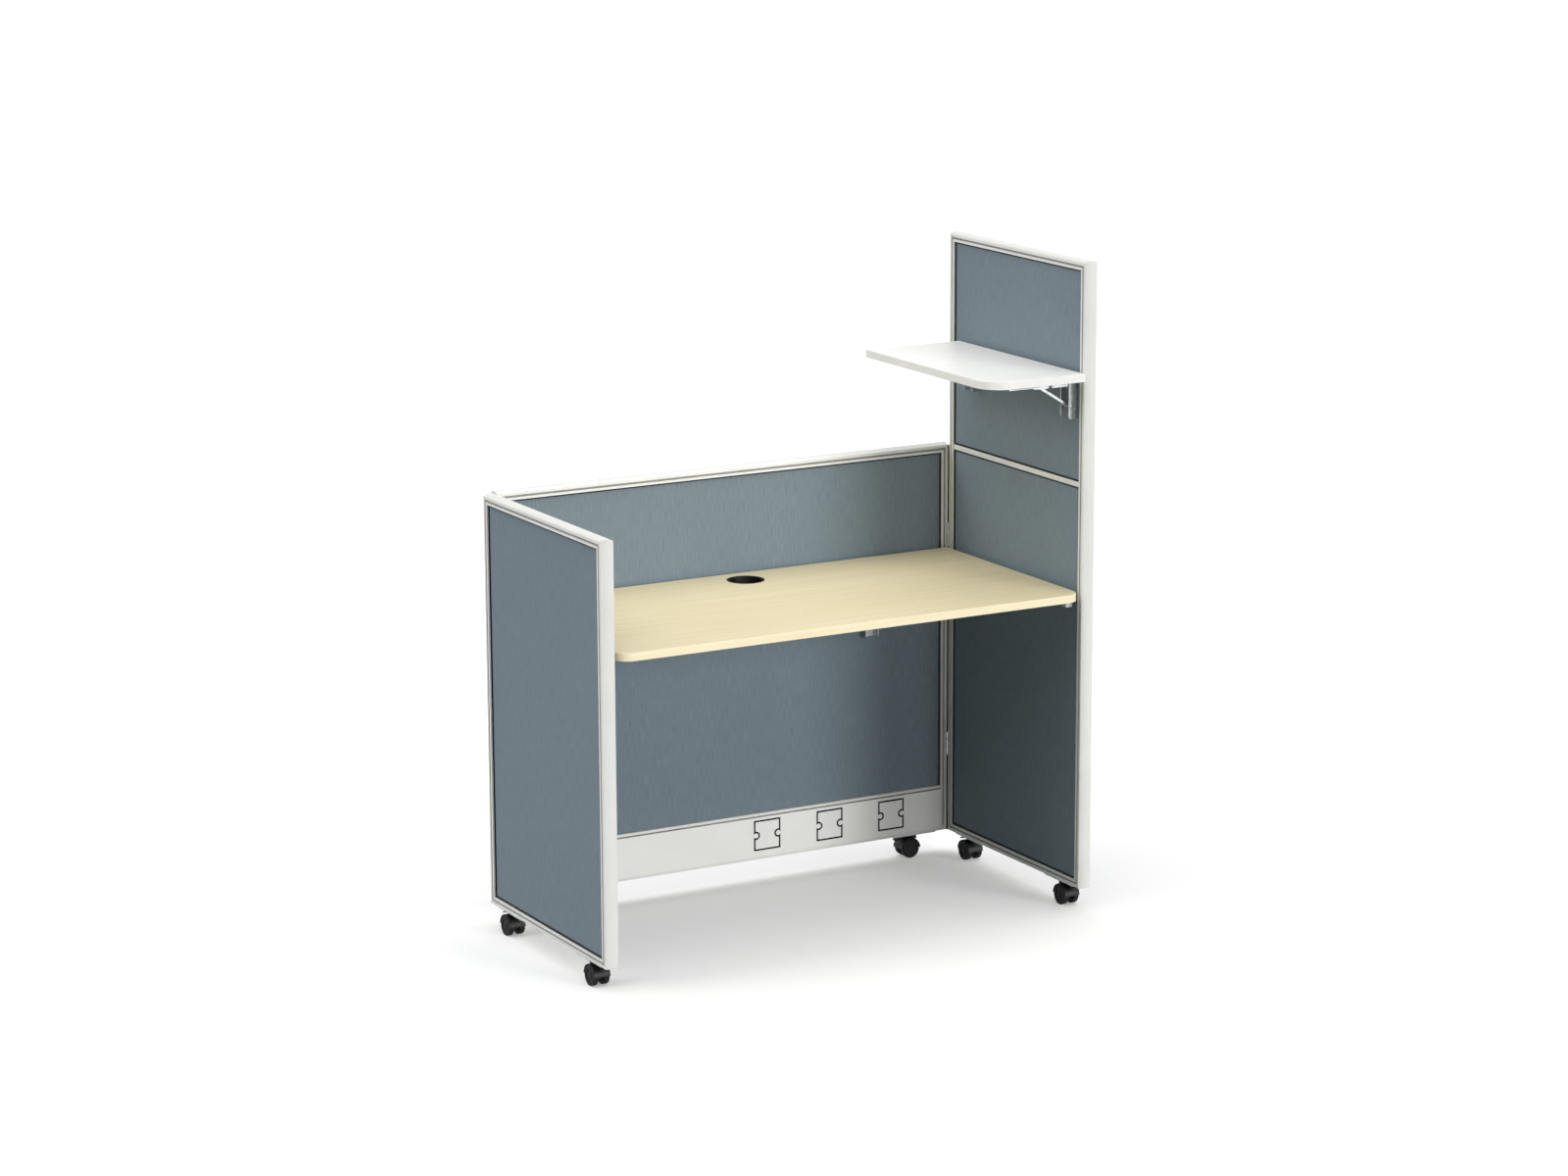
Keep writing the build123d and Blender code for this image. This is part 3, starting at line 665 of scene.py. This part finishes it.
@dataclass
class Panel:
    """One fabric panel: extruded frame, domed trims, cloth-covered tiles, hinge leaves, plates."""

    side: str
    depth_axis: int
    middle: float
    trims: str
    tiles: tuple[str, ...]
    # A tile whose foot rests on a rail, so that it has no gap.
    seated_tile: str = ""
    members: tuple[str, ...] = ("top_rail", "bottom_rail", "stiles")
    crossbars: tuple[str, ...] = ()
    member_rounding: float = 0.5
    trim_rounding: float = 0.6
    cloth_rounding: float = 1.0
    cloth_segments: int = 4
    leaf_rounding: float = 0.3
    plate_rounding: float = 0.4
    strip_rounding: float = 0.1
    # Reaches are measured from the panel's middle, through it.
    face_reach: float = 16.0
    # Painted shade: dark strips in the gaps round the tiles stand for the shadow under the frame's lips.
    gap_shade_reaches: Pair = (2.6, 12.5)
    gap_shade_width: float = 3.4
    groove_inset: float = 6.5
    groove_width: float = 5.0
    groove_depth: float = 3.0
    # Thickness of the grey strips of painted shade that stand for the shadow in the grooves.
    groove_shade_thickness: float = 0.3

    def build(self) -> None:
        """Build the frame, the trims, the tiles, the steel parts, and the dark strips of painted shade in
        the gaps round the tiles and in the grooves.
        """
        for part in self.members + self.crossbars:
            self.soften(part, FRAME_COAT, self.member_rounding)
        self.soften(self.trims, TRIM_COAT, self.trim_rounding)
        for part in self.tiles:
            self.soften(part, PANEL_CLOTH, self.cloth_rounding, self.cloth_segments)
        self.soften("hinge_leaves", ZINC, self.leaf_rounding)
        self.soften("caster_plates", ZINC, self.plate_rounding)
        self.build_gap_shades()
        self.build_groove_shades()

    def soften(self, part: str, finish: Finish, width: float, segments: int = 2) -> None:
        """Stand a softened copy of one of the panel's nodes in its place."""
        softened_node(f"{self.side}_{part}", finish, f"{self.side}_panel", width, segments)

    def build_gap_shades(self) -> None:
        """Lay dark strips of painted shade on the web in the gaps round the tiles, where the frame's lips
        shade them.
        """
        bm = bmesh.new()
        for tile in self.tiles:
            for low, high in solid_boxes(f"{self.side}_{tile}"):
                face = 1 if low[self.depth_axis] > self.middle else -1
                depths = sorted(self.middle + face * reach for reach in self.gap_shade_reaches)
                self.ring(bm, depths, low, high, self.gap_shade_width, tile != self.seated_tile)
        body = f"{self.side}_panel"
        piece(f"{body}_tile_gap_shade_strips", bm, TILE_GAP_SHADE, body)

    def build_groove_shades(self) -> None:
        """Lay a grey strip of painted shade along the bottom of the groove on each face of the frame, for
        the groove's shadow.
        """
        bm = bmesh.new()
        nodes = [f"{self.side}_{part}" for part in self.members]
        lows, highs = zip(*(box for node in nodes for box in solid_boxes(node)))
        inset = self.groove_inset + self.groove_width
        low = Vector(min(corner[axis] for corner in lows) + inset for axis in range(3))
        high = Vector(max(corner[axis] for corner in highs) - inset for axis in range(3))
        bottom = self.face_reach - self.groove_depth
        for face in (1, -1):
            depths = sorted(self.middle + face * reach for reach in (bottom, bottom + self.groove_shade_thickness))
            foot = not (self.seated_tile and face < 0)
            self.ring(bm, depths, low, high, self.groove_width, foot)
        body = f"{self.side}_panel"
        piece(f"{body}_groove_shade_strips", bm, GROOVE_SHADE, body)

    def ring(
        self, bm: Mesh, depths: Sequence[float], low: Vector, high: Vector, width: float, foot: bool
    ) -> None:
        """Lay strips round a rectangle in the panel's plane.

        Args:
            bm: Mesh to add to.
            depths: The strips' two places through the panel.
            low: Lower corner of the rectangle.
            high: Upper corner of the rectangle.
            width: Width of the strips, outward from the rectangle.
            foot: Whether a strip runs along its foot too.
        """
        across = 1 - self.depth_axis
        wide = (low[across] - width, high[across] + width)
        spans = [
            ((wide[0], low[across]), (low.z, high.z)),
            ((high[across], wide[1]), (low.z, high.z)),
            (wide, (high.z, high.z + width)),
        ]
        if foot:
            spans.append((wide, (low.z - width, low.z)))
        for along, tall in spans:
            corners = zip(depths, along, tall) if across else zip(along, depths, tall)
            block(bm, *corners, self.strip_rounding, segments=1)


@dataclass
class Raceway:
    """Cable raceway along the foot of the back panel, with three blanked socket places."""

    body: str = "back_panel"
    cover_rounding: float = 0.35
    blank_rounding: float = 0.2
    rail_rounding: float = 0.5
    face_y: float = 273.3
    line: float = 2.4
    width: float = 69.0
    height: float = 72.0
    middle_z: float = 114.5
    # Middle of the rightmost blank, the step to the next and how many there are.
    last_x: float = 431.0
    pitch: float = 168.5
    blanks: int = 3
    tab_radius: float = 7.0
    tab_inset: float = 5.0
    tab_steps: int = 20
    # Black rings of painted shade fill the lines round the blanks, where the trough behind them lies in
    # shade.
    shade_lap: float = 0.8
    shade_depth: float = 1.7
    shade_proud: float = 0.3

    def build(self) -> None:
        """Build the sheet parts and the black rings of painted shade round the blanks."""
        softened_node("raceway_cover", RACEWAY_COAT, self.body, self.cover_rounding)
        softened_node("socket_blanks", RACEWAY_COAT, self.body, self.blank_rounding)
        softened_node("raceway_rail", FRAME_COAT, self.body, self.rail_rounding)
        dressed_node("raceway_trough", GALVANISED)
        bm = bmesh.new()
        for place in range(self.blanks):
            self.line_shade_ring(bm, self.last_x - place * self.pitch)
        piece("socket_line_shades", bm, BLACK_RUBBER_AND_SHADE, self.body)

    def outline(self, inset: float) -> list[Pair]:
        """Outline a blank's hole, with a round tab in each side.

        Args:
            inset: How far inside the hole's edge the outline runs.

        Returns:
            Points across and up from the hole's middle, anticlockwise.
        """
        half_w = self.width / 2 - inset
        half_h = self.height / 2 - inset
        centre = self.width / 2 - self.tab_inset
        radius = self.tab_radius + inset
        first = math.acos((half_w - centre) / radius)
        tab = [(centre + x, z) for x, z in arc(radius, -first, first - math.tau, self.tab_steps)]
        far_tab = [(-x, -z) for x, z in tab]
        return [
            *tab, (half_w, half_h), (-half_w, half_h), *far_tab, (-half_w, -half_h), (half_w, -half_h),
        ]

    def line_shade_ring(self, bm: Mesh, middle_x: float) -> None:
        """Add the black ring of painted shade that fills the shaded line round one blank and laps over both
        its edges.

        Args:
            bm: Mesh to add to.
            middle_x: Middle of the blank.
        """
        part = bmesh.new()
        outer, inner = (
            [part.verts.new(metres(x, z, 0)) for x, z in self.outline(inset)]
            for inset in (-self.shade_lap, self.line + self.shade_lap)
        )
        for place in range(len(outer)):
            part.faces.new((outer[place - 1], outer[place], inner[place], inner[place - 1]))
        thickened(part, (0, 0, -self.shade_depth))
        spot = moved(middle_x, self.face_y - self.shade_proud, self.middle_z)
        join(bm, part, spot @ Matrix.Rotation(math.radians(90), 4, "X"))


@dataclass
class Desk:
    """Desktop of woodgrain board with its edge band, cable grommet and stop."""

    body: str = "desk"
    board_rounding: float = 0.25
    band_rounding: float = 0.8
    stop_rounding: float = 1.2
    spared_margin: float = 1.0
    # Radii of the grommet, then its rims as steps out from the radius and up from the top.
    grommet_bore: float = 38.0
    grommet_sleeve: float = 40.0
    grommet_flange: float = 44.0
    grommet_flange_height: float = 2.0
    grommet_steps: int = 96
    flange_rim: Outline = ((0.0, -0.7), (-0.2, -0.2), (-0.7, 0.0))
    bore_rim: Outline = ((1.0, 0.0), (0.3, -0.3), (0.0, -1.0))

    def build(self) -> None:
        """Build the board, the band, the stop and the grommet."""
        low, high = solid_boxes("grommet")[0]
        middle = (low + high) / 2
        bm = copy_of("desktop")
        reach = self.grommet_flange + self.spared_margin
        rounded(bm, self.board_rounding, spared=(middle.x, middle.y, reach))
        piece("desktop_piece", bm, MAPLE, self.body, ("desktop",))
        softened_node("desktop_edging", MAPLE_EDGE, self.body, self.band_rounding, 3)
        softened_node("desk_stop", GREY_ABS, self.body, self.stop_rounding, 3)
        self.build_grommet(Vector((middle.x, middle.y, high.z)), high.z - low.z)

    def build_grommet(self, top: Vector, height: float) -> None:
        """Turn the grommet: a sleeve under a flange whose rims are rounded.

        Args:
            top: Middle of the flange's top.
            height: Whole height of the grommet.
        """
        bore, sleeve, flange = self.grommet_bore, self.grommet_sleeve, self.grommet_flange
        seat = -self.grommet_flange_height
        profile = [
            (bore, -height), (sleeve, -height), (sleeve, seat), (flange, seat),
            *((flange + out, up) for out, up in self.flange_rim),
            *((bore + out, up) for out, up in self.bore_rim),
            (bore, -height),
        ]
        bm = bmesh.new()
        turned(bm, profile, moved(*top), self.grommet_steps)
        piece("grommet_ring", bm, BLACK_NYLON, self.body, ("grommet",))


@dataclass
class Shelf:
    """White shelf board with its edge band."""

    body: str = "shelf"
    board_rounding: float = 0.25
    band_rounding: float = 0.8

    def build(self) -> None:
        """Build the board and the band."""
        softened_node("shelf_board", WHITE_BOARD, self.body, self.board_rounding)
        softened_node("shelf_edging", WHITE_EDGE, self.body, self.band_rounding, 3)


@dataclass
class FoldingBrackets:
    """Pressed steel folding brackets of one board: legs, arms, struts and their rivet heads."""

    board: str
    leg_body: str
    # Each bracket's place on the tile, at the underside of the board.
    facing: Matrix
    spots: tuple[Triple, ...]
    strut_drop: float
    pivot_out: float = 17.5
    pivot_drop: float = 8.0
    sheet_rounding: float = 0.4
    leg_half: float = 18.0
    # Radius and height of each point of a rivet head.
    rivet: Outline = ((0, 1.6), (1.8, 1.45), (3.4, 0.9), (4.4, 0.0), (4.4, -0.2), (0, -0.2))
    strut_tilt: float = 58.0
    strut_half: float = 4.0
    strut_rounding: float = 0.5
    shank_half: float = 3.0
    eye_radius: float = 5.0
    eye_steps: int = 9
    bore_radius: float = 3.1
    bore_steps: int = 12
    pin_radius: float = 2.5
    pin_half: float = 10.0
    pin_chamfer: float = 0.3

    def places(self) -> list[Matrix]:
        """Give the frame of each bracket: X out of the panel, Y up."""
        return [moved(*spot) @ self.facing for spot in self.spots]

    def build(self) -> None:
        """Build the legs, arms and struts and the rivet heads on the legs."""
        for kind, body in (("legs", self.leg_body), ("arms", self.board)):
            softened_node(f"{self.board}_{kind}", ZINC, body, self.sheet_rounding)
        self.build_struts()
        bm = bmesh.new()
        for place in self.places():
            for drop in (self.pivot_drop, self.strut_drop):
                for side in (1, -1):
                    spot = moved(self.pivot_out, -drop, side * self.leg_half)
                    turn = Matrix.Rotation(math.radians(0 if side > 0 else 180), 4, "X")
                    turned(bm, self.rivet, place @ spot @ turn)
        piece(f"{self.board}_leg_rivets", bm, ZINC, self.leg_body)

    def strut_half_outline(self, length: float) -> list[Pair]:
        """Outline a strut's upper half, from the far end of its upper eye to that of its bore.

        Args:
            length: Distance between the strut's two pins.

        Returns:
            Points along the strut and across it, anticlockwise, with both ends on its middle line.
        """
        last = math.pi - math.asin(self.shank_half / self.eye_radius)
        far_eye = [(length + x, y) for x, y in arc(self.eye_radius, 0.0, last, self.eye_steps)]
        near_eye = [(length - x, y) for x, y in reversed(far_eye)]
        bore = [(-x, y) for x, y in arc(self.bore_radius, 0.0, math.pi, self.bore_steps)]
        return far_eye + near_eye + bore

    def build_struts(self) -> None:
        """Build each strut with its upper pin: two round eyes joined by a slimmer shank."""
        length = (self.strut_drop - self.pivot_drop) / math.cos(math.radians(self.strut_tilt))
        upper = self.strut_half_outline(length)
        rise = Matrix.Rotation(math.radians(90 - self.strut_tilt), 4, "Z")
        foot = moved(self.pivot_out, -self.strut_drop, 0)
        end, rim, cut = self.pin_half, self.pin_radius, self.pin_chamfer
        pin = [(0, -end), (rim - cut, -end), (rim, cut - end), (rim, end - cut), (rim - cut, end), (0, end)]
        bm = bmesh.new()
        for place in self.places():
            strut = bmesh.new()
            for side in (1, -1):
                points = [metres(x, side * y, -self.strut_half) for x, y in upper]
                strut.faces.new([strut.verts.new(point) for point in points])
            bmesh.ops.remove_doubles(strut, verts=strut.verts, dist=MERGED)
            bmesh.ops.recalc_face_normals(strut, faces=strut.faces)
            thickened(strut, (0, 0, 2 * self.strut_half))
            rounded(strut, self.strut_rounding, angle=60.0)
            lying = place @ foot @ rise
            join(bm, strut, lying)
            turned(bm, pin, lying @ moved(length, 0, 0))
        name = f"{self.board}_strut"
        piece(f"{name}_bars", bm, ZINC, f"{name}_pair", (f"{name}s",))


@dataclass
class CornerHinges:
    """Hinge pins and dark flexible strips in the two corners."""

    strip_rounding: float = 0.2
    lip_rounding: float = 0.5
    lip_width: float = 2.6
    lip_low: float = 272.8
    lip_high: float = 275.0
    closing: float = 0.3

    def build(self) -> None:
        """Build the pins and the strips."""
        dressed_node("hinge_pins", ZINC)
        bm = bmesh.new()
        for low, high in solid_boxes("corner_seals"):
            root, wall = sorted((low.x, high.x), key=abs)
            wall += math.copysign(self.closing, wall)
            near, far = sorted((wall, root))
            block(bm, (near, low.y, low.z), (far, high.y, high.z), self.strip_rounding, 1)
            near, far = sorted((wall, wall - math.copysign(self.lip_width, wall)))
            block(bm, (near, self.lip_low, low.z), (far, self.lip_high, high.z), self.lip_rounding)
        piece("corner_strips", bm, BLACK_RUBBER_AND_SHADE, "back_panel", ("corner_seals",))


@dataclass
class Caster:
    """Twin-wheel caster with a hood and a foot brake, in a frame whose X is the trail."""

    name: str
    place: Pair
    trail_angle: float
    trail: float = 14.0
    wheel_radius: float = 23.0
    wheel_inner: float = 7.0
    wheel_outer: float = 20.0
    wheel_steps: int = 56
    axle_radius: float = 3.0
    hood_inner: float = 24.0
    hood_outer: float = 26.0
    hood_rounding: float = 0.7
    hood_steps: int = 28
    web_radius: float = 24.5
    web_half: float = 6.0
    web_low: float = 9.0
    web_rounding: float = 0.6
    web_steps: int = 24
    neck_low: Triple = (-9.5, -6.0, 42.0)
    neck_high: Triple = (20.0, 6.0, 52.6)
    neck_rounding: float = 1.0
    boss_steps: int = 40
    # Radius and height above the floor: the boss under the plate and the stem in it.
    boss: Outline = (
        (0, 46.7), (8.6, 46.7), (10, 47.9), (10, 51.7), (9, 52.7), (4, 52.7), (4, 55.7), (0, 55.7),
    )
    # Radius and distance from the caster's middle: tread, sunk disc and domed hub cap.
    wheel: Outline = (
        (0, 7), (20.8, 7), (22.2, 7.5), (23, 8.8), (23, 18.2), (22.2, 19.5), (20.8, 20), (19.6, 20),
        (19.2, 19.3), (18.4, 19.3), (18, 19.9), (15.2, 19.9), (14.4, 18.2), (13.6, 18), (8.6, 18),
        (8.2, 18.8), (6.5, 19.5), (3.5, 19.9), (0, 20),
    )
    # Way along the trail and height above the floor; ribs stand between the 7th and the 8th point.
    pedal: Outline = (
        (21.5, 49.6), (32, 47.4), (44, 44.3), (49.4, 42.9), (50, 44.2), (49.6, 45.4), (44, 47),
        (32, 50.1), (23, 52.2), (21.5, 52.2),
    )
    pedal_half: float = 8.0
    pedal_rounding: float = 0.7
    fork_inner: float = 6.6
    fork_span: Pair = (13.2, 24.0)
    fork_heights: Pair = (49.7, 52.2)
    fork_rounding: float = 0.4
    ribs: tuple[float, ...] = (34.0, 38.0, 42.0, 46.0)
    rib_low: Triple = (-0.5, -6.5, -0.4)
    rib_high: Triple = (0.5, 6.5, 0.55)
    rib_rounding: float = 0.25

    def axle(self, side: int = 1) -> Matrix:
        """Give the frame of the axle, whose Z points out of one side."""
        spot = moved(self.trail, 0, self.wheel_radius)
        return spot @ Matrix.Rotation(math.radians(-90 * side), 4, "X")

    def stand(self, bm: Mesh, kind: str, finish: Finish, motion: str) -> None:
        """Put a finished mesh where the caster stands.

        Args:
            bm: Mesh in the caster's frame: origin on the floor under its stem, X along the trail.
            kind: Which of the caster's pieces it is.
            finish: Its finish.
            motion: Last part of the name of the body that it moves with.
        """
        turn = Matrix.Rotation(math.radians(self.trail_angle), 4, "Z")
        bmesh.ops.transform(bm, matrix=moved(*self.place, 0) @ turn, verts=bm.verts)
        node = f"{self.name}_caster_{kind}"
        piece(f"{self.name}_{kind}", bm, finish, f"{self.name}_{motion}", (node,))

    def build(self) -> None:
        """Build the housing, the wheels and the lever."""
        self.build_housing()
        self.build_wheels()
        self.build_lever()

    def swept(self, part: Mesh, geometry: Sequence[object], side: float, steps: int) -> None:
        """Sweep geometry through half a turn over the axle, at a place across the caster."""
        axle = metres(self.trail, side, self.wheel_radius)
        bmesh.ops.spin(part, geom=geometry, cent=axle, axis=(0, -1, 0), angle=math.pi, steps=steps)

    def hood(self) -> Mesh:
        """Make the hood over both wheels.

        Returns:
            Its mesh in the caster's frame.
        """
        hood = bmesh.new()
        near, far, half = self.trail + self.hood_inner, self.trail + self.hood_outer, self.wheel_outer
        corners = [
            hood.verts.new(metres(along, side, self.wheel_radius))
            for along, side in ((near, -half), (far, -half), (far, half), (near, half))
        ]
        face = hood.faces.new(corners)
        self.swept(hood, [face, *face.edges, *corners], 0.0, self.hood_steps)
        bmesh.ops.recalc_face_normals(hood, faces=hood.faces)
        rounded(hood, self.hood_rounding, segments=3)
        return hood

    def web(self) -> Mesh:
        """Make the web between the wheels.

        Returns:
            Its mesh in the caster's frame.
        """
        web = bmesh.new()
        side = -self.web_half
        rim = web.verts.new(metres(self.trail + self.web_radius, side, self.wheel_radius))
        self.swept(web, [rim], side, self.web_steps)
        web.verts.new(metres(self.trail, side, self.web_low))
        web.faces.new(list(web.verts))
        thickened(web, (0, 2 * self.web_half, 0))
        rounded(web, self.web_rounding)
        return web

    def build_housing(self) -> None:
        """Build the hood over the wheels, the web between them, the neck, the boss and the stem."""
        bm = bmesh.new()
        join(bm, self.hood())
        join(bm, self.web())
        block(bm, self.neck_low, self.neck_high, self.neck_rounding)
        turned(bm, self.boss, Matrix.Identity(4), self.boss_steps)
        self.stand(bm, "housing", BLACK_NYLON, "swivel")

    def build_wheels(self) -> None:
        """Build two wheels with rounded treads, sunk discs and domed hub caps, on one axle."""
        bm = bmesh.new()
        for side in (1, -1):
            turned(bm, self.wheel, self.axle(side), self.wheel_steps)
        end, rim = self.wheel_inner, self.axle_radius
        turned(bm, [(0, -end), (rim, -end), (rim, end), (0, end)], self.axle())
        self.stand(bm, "wheels", BLACK_TREAD, "wheel_pair")

    def build_lever(self) -> None:
        """Build the foot pedal over the hood with its grip ribs, forked round the neck."""
        bm = bmesh.new()
        pad = bmesh.new()
        half = self.pedal_half
        pad.faces.new([pad.verts.new(metres(x, -half, z)) for x, z in self.pedal])
        thickened(pad, (0, 2 * half, 0))
        rounded(pad, self.pedal_rounding, angle=40.0)
        join(bm, pad)
        (start, end), (bottom, top) = self.fork_span, self.fork_heights
        for side in (1, -1):
            low, high = sorted((side * self.fork_inner, side * half))
            block(bm, (start, low, bottom), (end, high, top), self.fork_rounding)
        (far, foot), (near, head) = self.pedal[6:8]
        for along in self.ribs:
            rib = bmesh.new()
            block(rib, self.rib_low, self.rib_high, self.rib_rounding)
            height = head - (along - near) * (head - foot) / (far - near)
            join(bm, rib, moved(along, 0, height))
        self.stand(bm, "lever", BLACK_NYLON, "brake")


@dataclass(frozen=True)
class Lamp:
    """A broad soft lamp far away; its azimuth goes from the front to the right."""

    name: str
    azimuth: float
    elevation: float
    # Its strength on a surface that faces it, and its angular size.
    strength: float
    spread: float
    # In metres; it changes nothing in the light.
    distance: float = 6.0

    def build(self) -> None:
        """Build the lamp."""
        lamp = bpy.data.lights.new(self.name, "SUN")
        lamp.energy = self.strength
        lamp.angle = math.radians(self.spread)
        lamp.color = (1.0, 1.0, 1.0)
        made = placed(self.name, lamp)
        way = toward(self.azimuth, self.elevation)
        made.location = way * self.distance
        made.rotation_mode = "QUATERNION"
        made.rotation_quaternion = way.to_track_quat("Z", "Y")


@dataclass
class Studio:
    """Pale floor, soft lamps, white surroundings and the camera of the photograph."""

    focal_pixels: float = 4294.4
    azimuth: float = -29.236
    elevation: float = 12.637
    roll: float = -0.227
    camera_place: Triple = (-4506.7, -8032.0, 2834.1)
    # What the camera sees, from and to so many metres.
    seen_from: float = 0.1
    seen_to: float = 200.0
    sky: float = 0.12
    floor_lift: float = 0.25
    floor_colour: str = "#E9E9E8"
    bounce_colour: str = "#969696"
    # In metres.
    floor_radius: float = 45.0
    floor_steps: int = 64
    lamps: tuple[Lamp, ...] = (
        Lamp("key_lamp", 25.0, 9.0, 1.55, 20.0),
        Lamp("front_lamp", 2.0, 6.0, 0.55, 12.0),
        Lamp("left_lamp", -100.0, 20.0, 1.15, 30.0),
        Lamp("top_lamp", 0.0, 86.0, 2.6, 96.0),
    )

    def build(self) -> None:
        """Build the floor, the surroundings, the lamps and the camera."""
        self.build_floor()
        self.build_world()
        for lamp in self.lamps:
            lamp.build()
        self.build_camera()

    def seen(self, tree: Tree) -> Socket:
        """Make a switch: 1 for what the camera, a gloss or a clear piece sees, else 0.

        Args:
            tree: Tree of the floor or the world.

        Returns:
            The switch.
        """
        path = add_node(tree, "ShaderNodeLightPath")
        total = path.outputs["Is Camera Ray"]
        for name in ("Is Glossy Ray", "Is Transmission Ray"):
            total = maths(tree, "MAXIMUM", total, path.outputs[name])
        return total

    def build_floor(self) -> None:
        """Build a wide matt floor that looks white where nothing shades it."""
        material = bpy.data.materials.new("matt_studio_floor")
        tree = empty_tree(material)
        seen = self.seen(tree)
        pale = add_node(tree, "ShaderNodeBsdfDiffuse", {"Color": linear(self.floor_colour)})
        dull = add_node(tree, "ShaderNodeBsdfDiffuse", {"Color": linear(self.bounce_colour)})
        matt = add_node(tree, "ShaderNodeMixShader", {0: seen, 1: dull.outputs[0], 2: pale.outputs[0]})
        lift = maths(tree, "MULTIPLY", seen, self.floor_lift)
        glow = add_node(tree, "ShaderNodeEmission", {"Strength": lift})
        both = add_node(tree, "ShaderNodeAddShader", {0: matt.outputs[0], 1: glow.outputs[0]})
        add_node(tree, "ShaderNodeOutputMaterial", {"Surface": both.outputs[0]})
        bm = bmesh.new()
        bmesh.ops.create_circle(bm, cap_ends=True, segments=self.floor_steps, radius=self.floor_radius)
        mesh = bpy.data.meshes.new("studio_floor")
        bm.to_mesh(mesh)
        bm.free()
        mesh.materials.append(material)
        floor = placed("studio_floor", mesh)

    def build_world(self) -> None:
        """Light evenly and softly from all round, seen as plain white."""
        world = bpy.data.worlds.new("white_surroundings")
        tree = empty_tree(world)
        light = add_node(tree, "ShaderNodeBackground", {"Color": (1, 1, 1, 1), "Strength": self.sky})
        white = add_node(tree, "ShaderNodeBackground", {"Color": (1, 1, 1, 1), "Strength": 1.0})
        both = add_node(tree, "ShaderNodeMixShader", {
            0: self.seen(tree), 1: light.outputs[0], 2: white.outputs[0],
        })
        add_node(tree, "ShaderNodeOutputWorld", {"Surface": both.outputs[0]})
        bpy.context.scene.world = world

    def build_camera(self) -> None:
        """Build the camera with the photograph's place, aim, tilt and field of view."""
        turn, roll = math.radians(self.azimuth), math.radians(self.roll)
        ahead = -toward(self.azimuth, self.elevation)
        side = Vector((math.cos(turn), math.sin(turn), 0))
        up = side.cross(ahead)
        right = side * math.cos(roll) + up * math.sin(roll)
        above = up * math.cos(roll) - side * math.sin(roll)
        lens = bpy.data.cameras.new("photo_camera")
        lens.sensor_width = SENSOR
        lens.lens = self.focal_pixels * SENSOR / PHOTO_WIDTH
        lens.clip_start = self.seen_from
        lens.clip_end = self.seen_to
        camera = placed("photo_camera", lens)
        facing = Matrix((right, above, -ahead)).transposed().to_4x4()
        camera.matrix_world = moved(*self.camera_place) @ facing
        bpy.context.scene.camera = camera


def main() -> None:
    """Build the dressed desk booth and its studio."""
    logging.basicConfig(level=logging.INFO, format="%(name)s %(message)s")
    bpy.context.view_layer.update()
    bpy.context.scene.view_settings.view_transform = "Standard"

    parts = [
        Panel("back", 1, BACK_MIDDLE, "trim", ("front_tile", "rear_tile"), seated_tile="front_tile"),
        Panel("left", 0, -SIDE_MIDDLE, "trims", ("tiles",)),
        Panel("right", 0, SIDE_MIDDLE, "trims", ("lower_tiles", "upper_tiles"), crossbars=("crossbar",)),
        Raceway(),
        Desk(),
        Shelf(),
        FoldingBrackets(
            "desk", "back_panel", OUT_OF_BACK, spots=((-370.0, 280.5, 732.0), (370.0, 280.5, 732.0)),
            strut_drop=118.0,
        ),
        FoldingBrackets(
            "shelf", "right_panel", OUT_OF_RIGHT, spots=((594.5, -248.0, 1232.0), (594.5, 162.0, 1232.0)),
            strut_drop=61.0,
        ),
        CornerHinges(),
        Caster("left_front", (-SIDE_MIDDLE, FRONT_CASTER_Y), -90.0),
        Caster("left_rear", (-SIDE_MIDDLE, REAR_CASTER_Y), 90.0),
        Caster("right_front", (SIDE_MIDDLE, FRONT_CASTER_Y), -90.0),
        Caster("right_rear", (SIDE_MIDDLE, REAR_CASTER_Y), 90.0),
        Caster("back_left", (-BACK_CASTER_X, BACK_MIDDLE), 0.0),
        Caster("back_right", (BACK_CASTER_X, BACK_MIDDLE), 180.0),
        Studio(),
    ]
    for part in parts:
        part.build()
        log.info("%s is built", type(part).__name__)


if __name__ == "__main__":
    main()
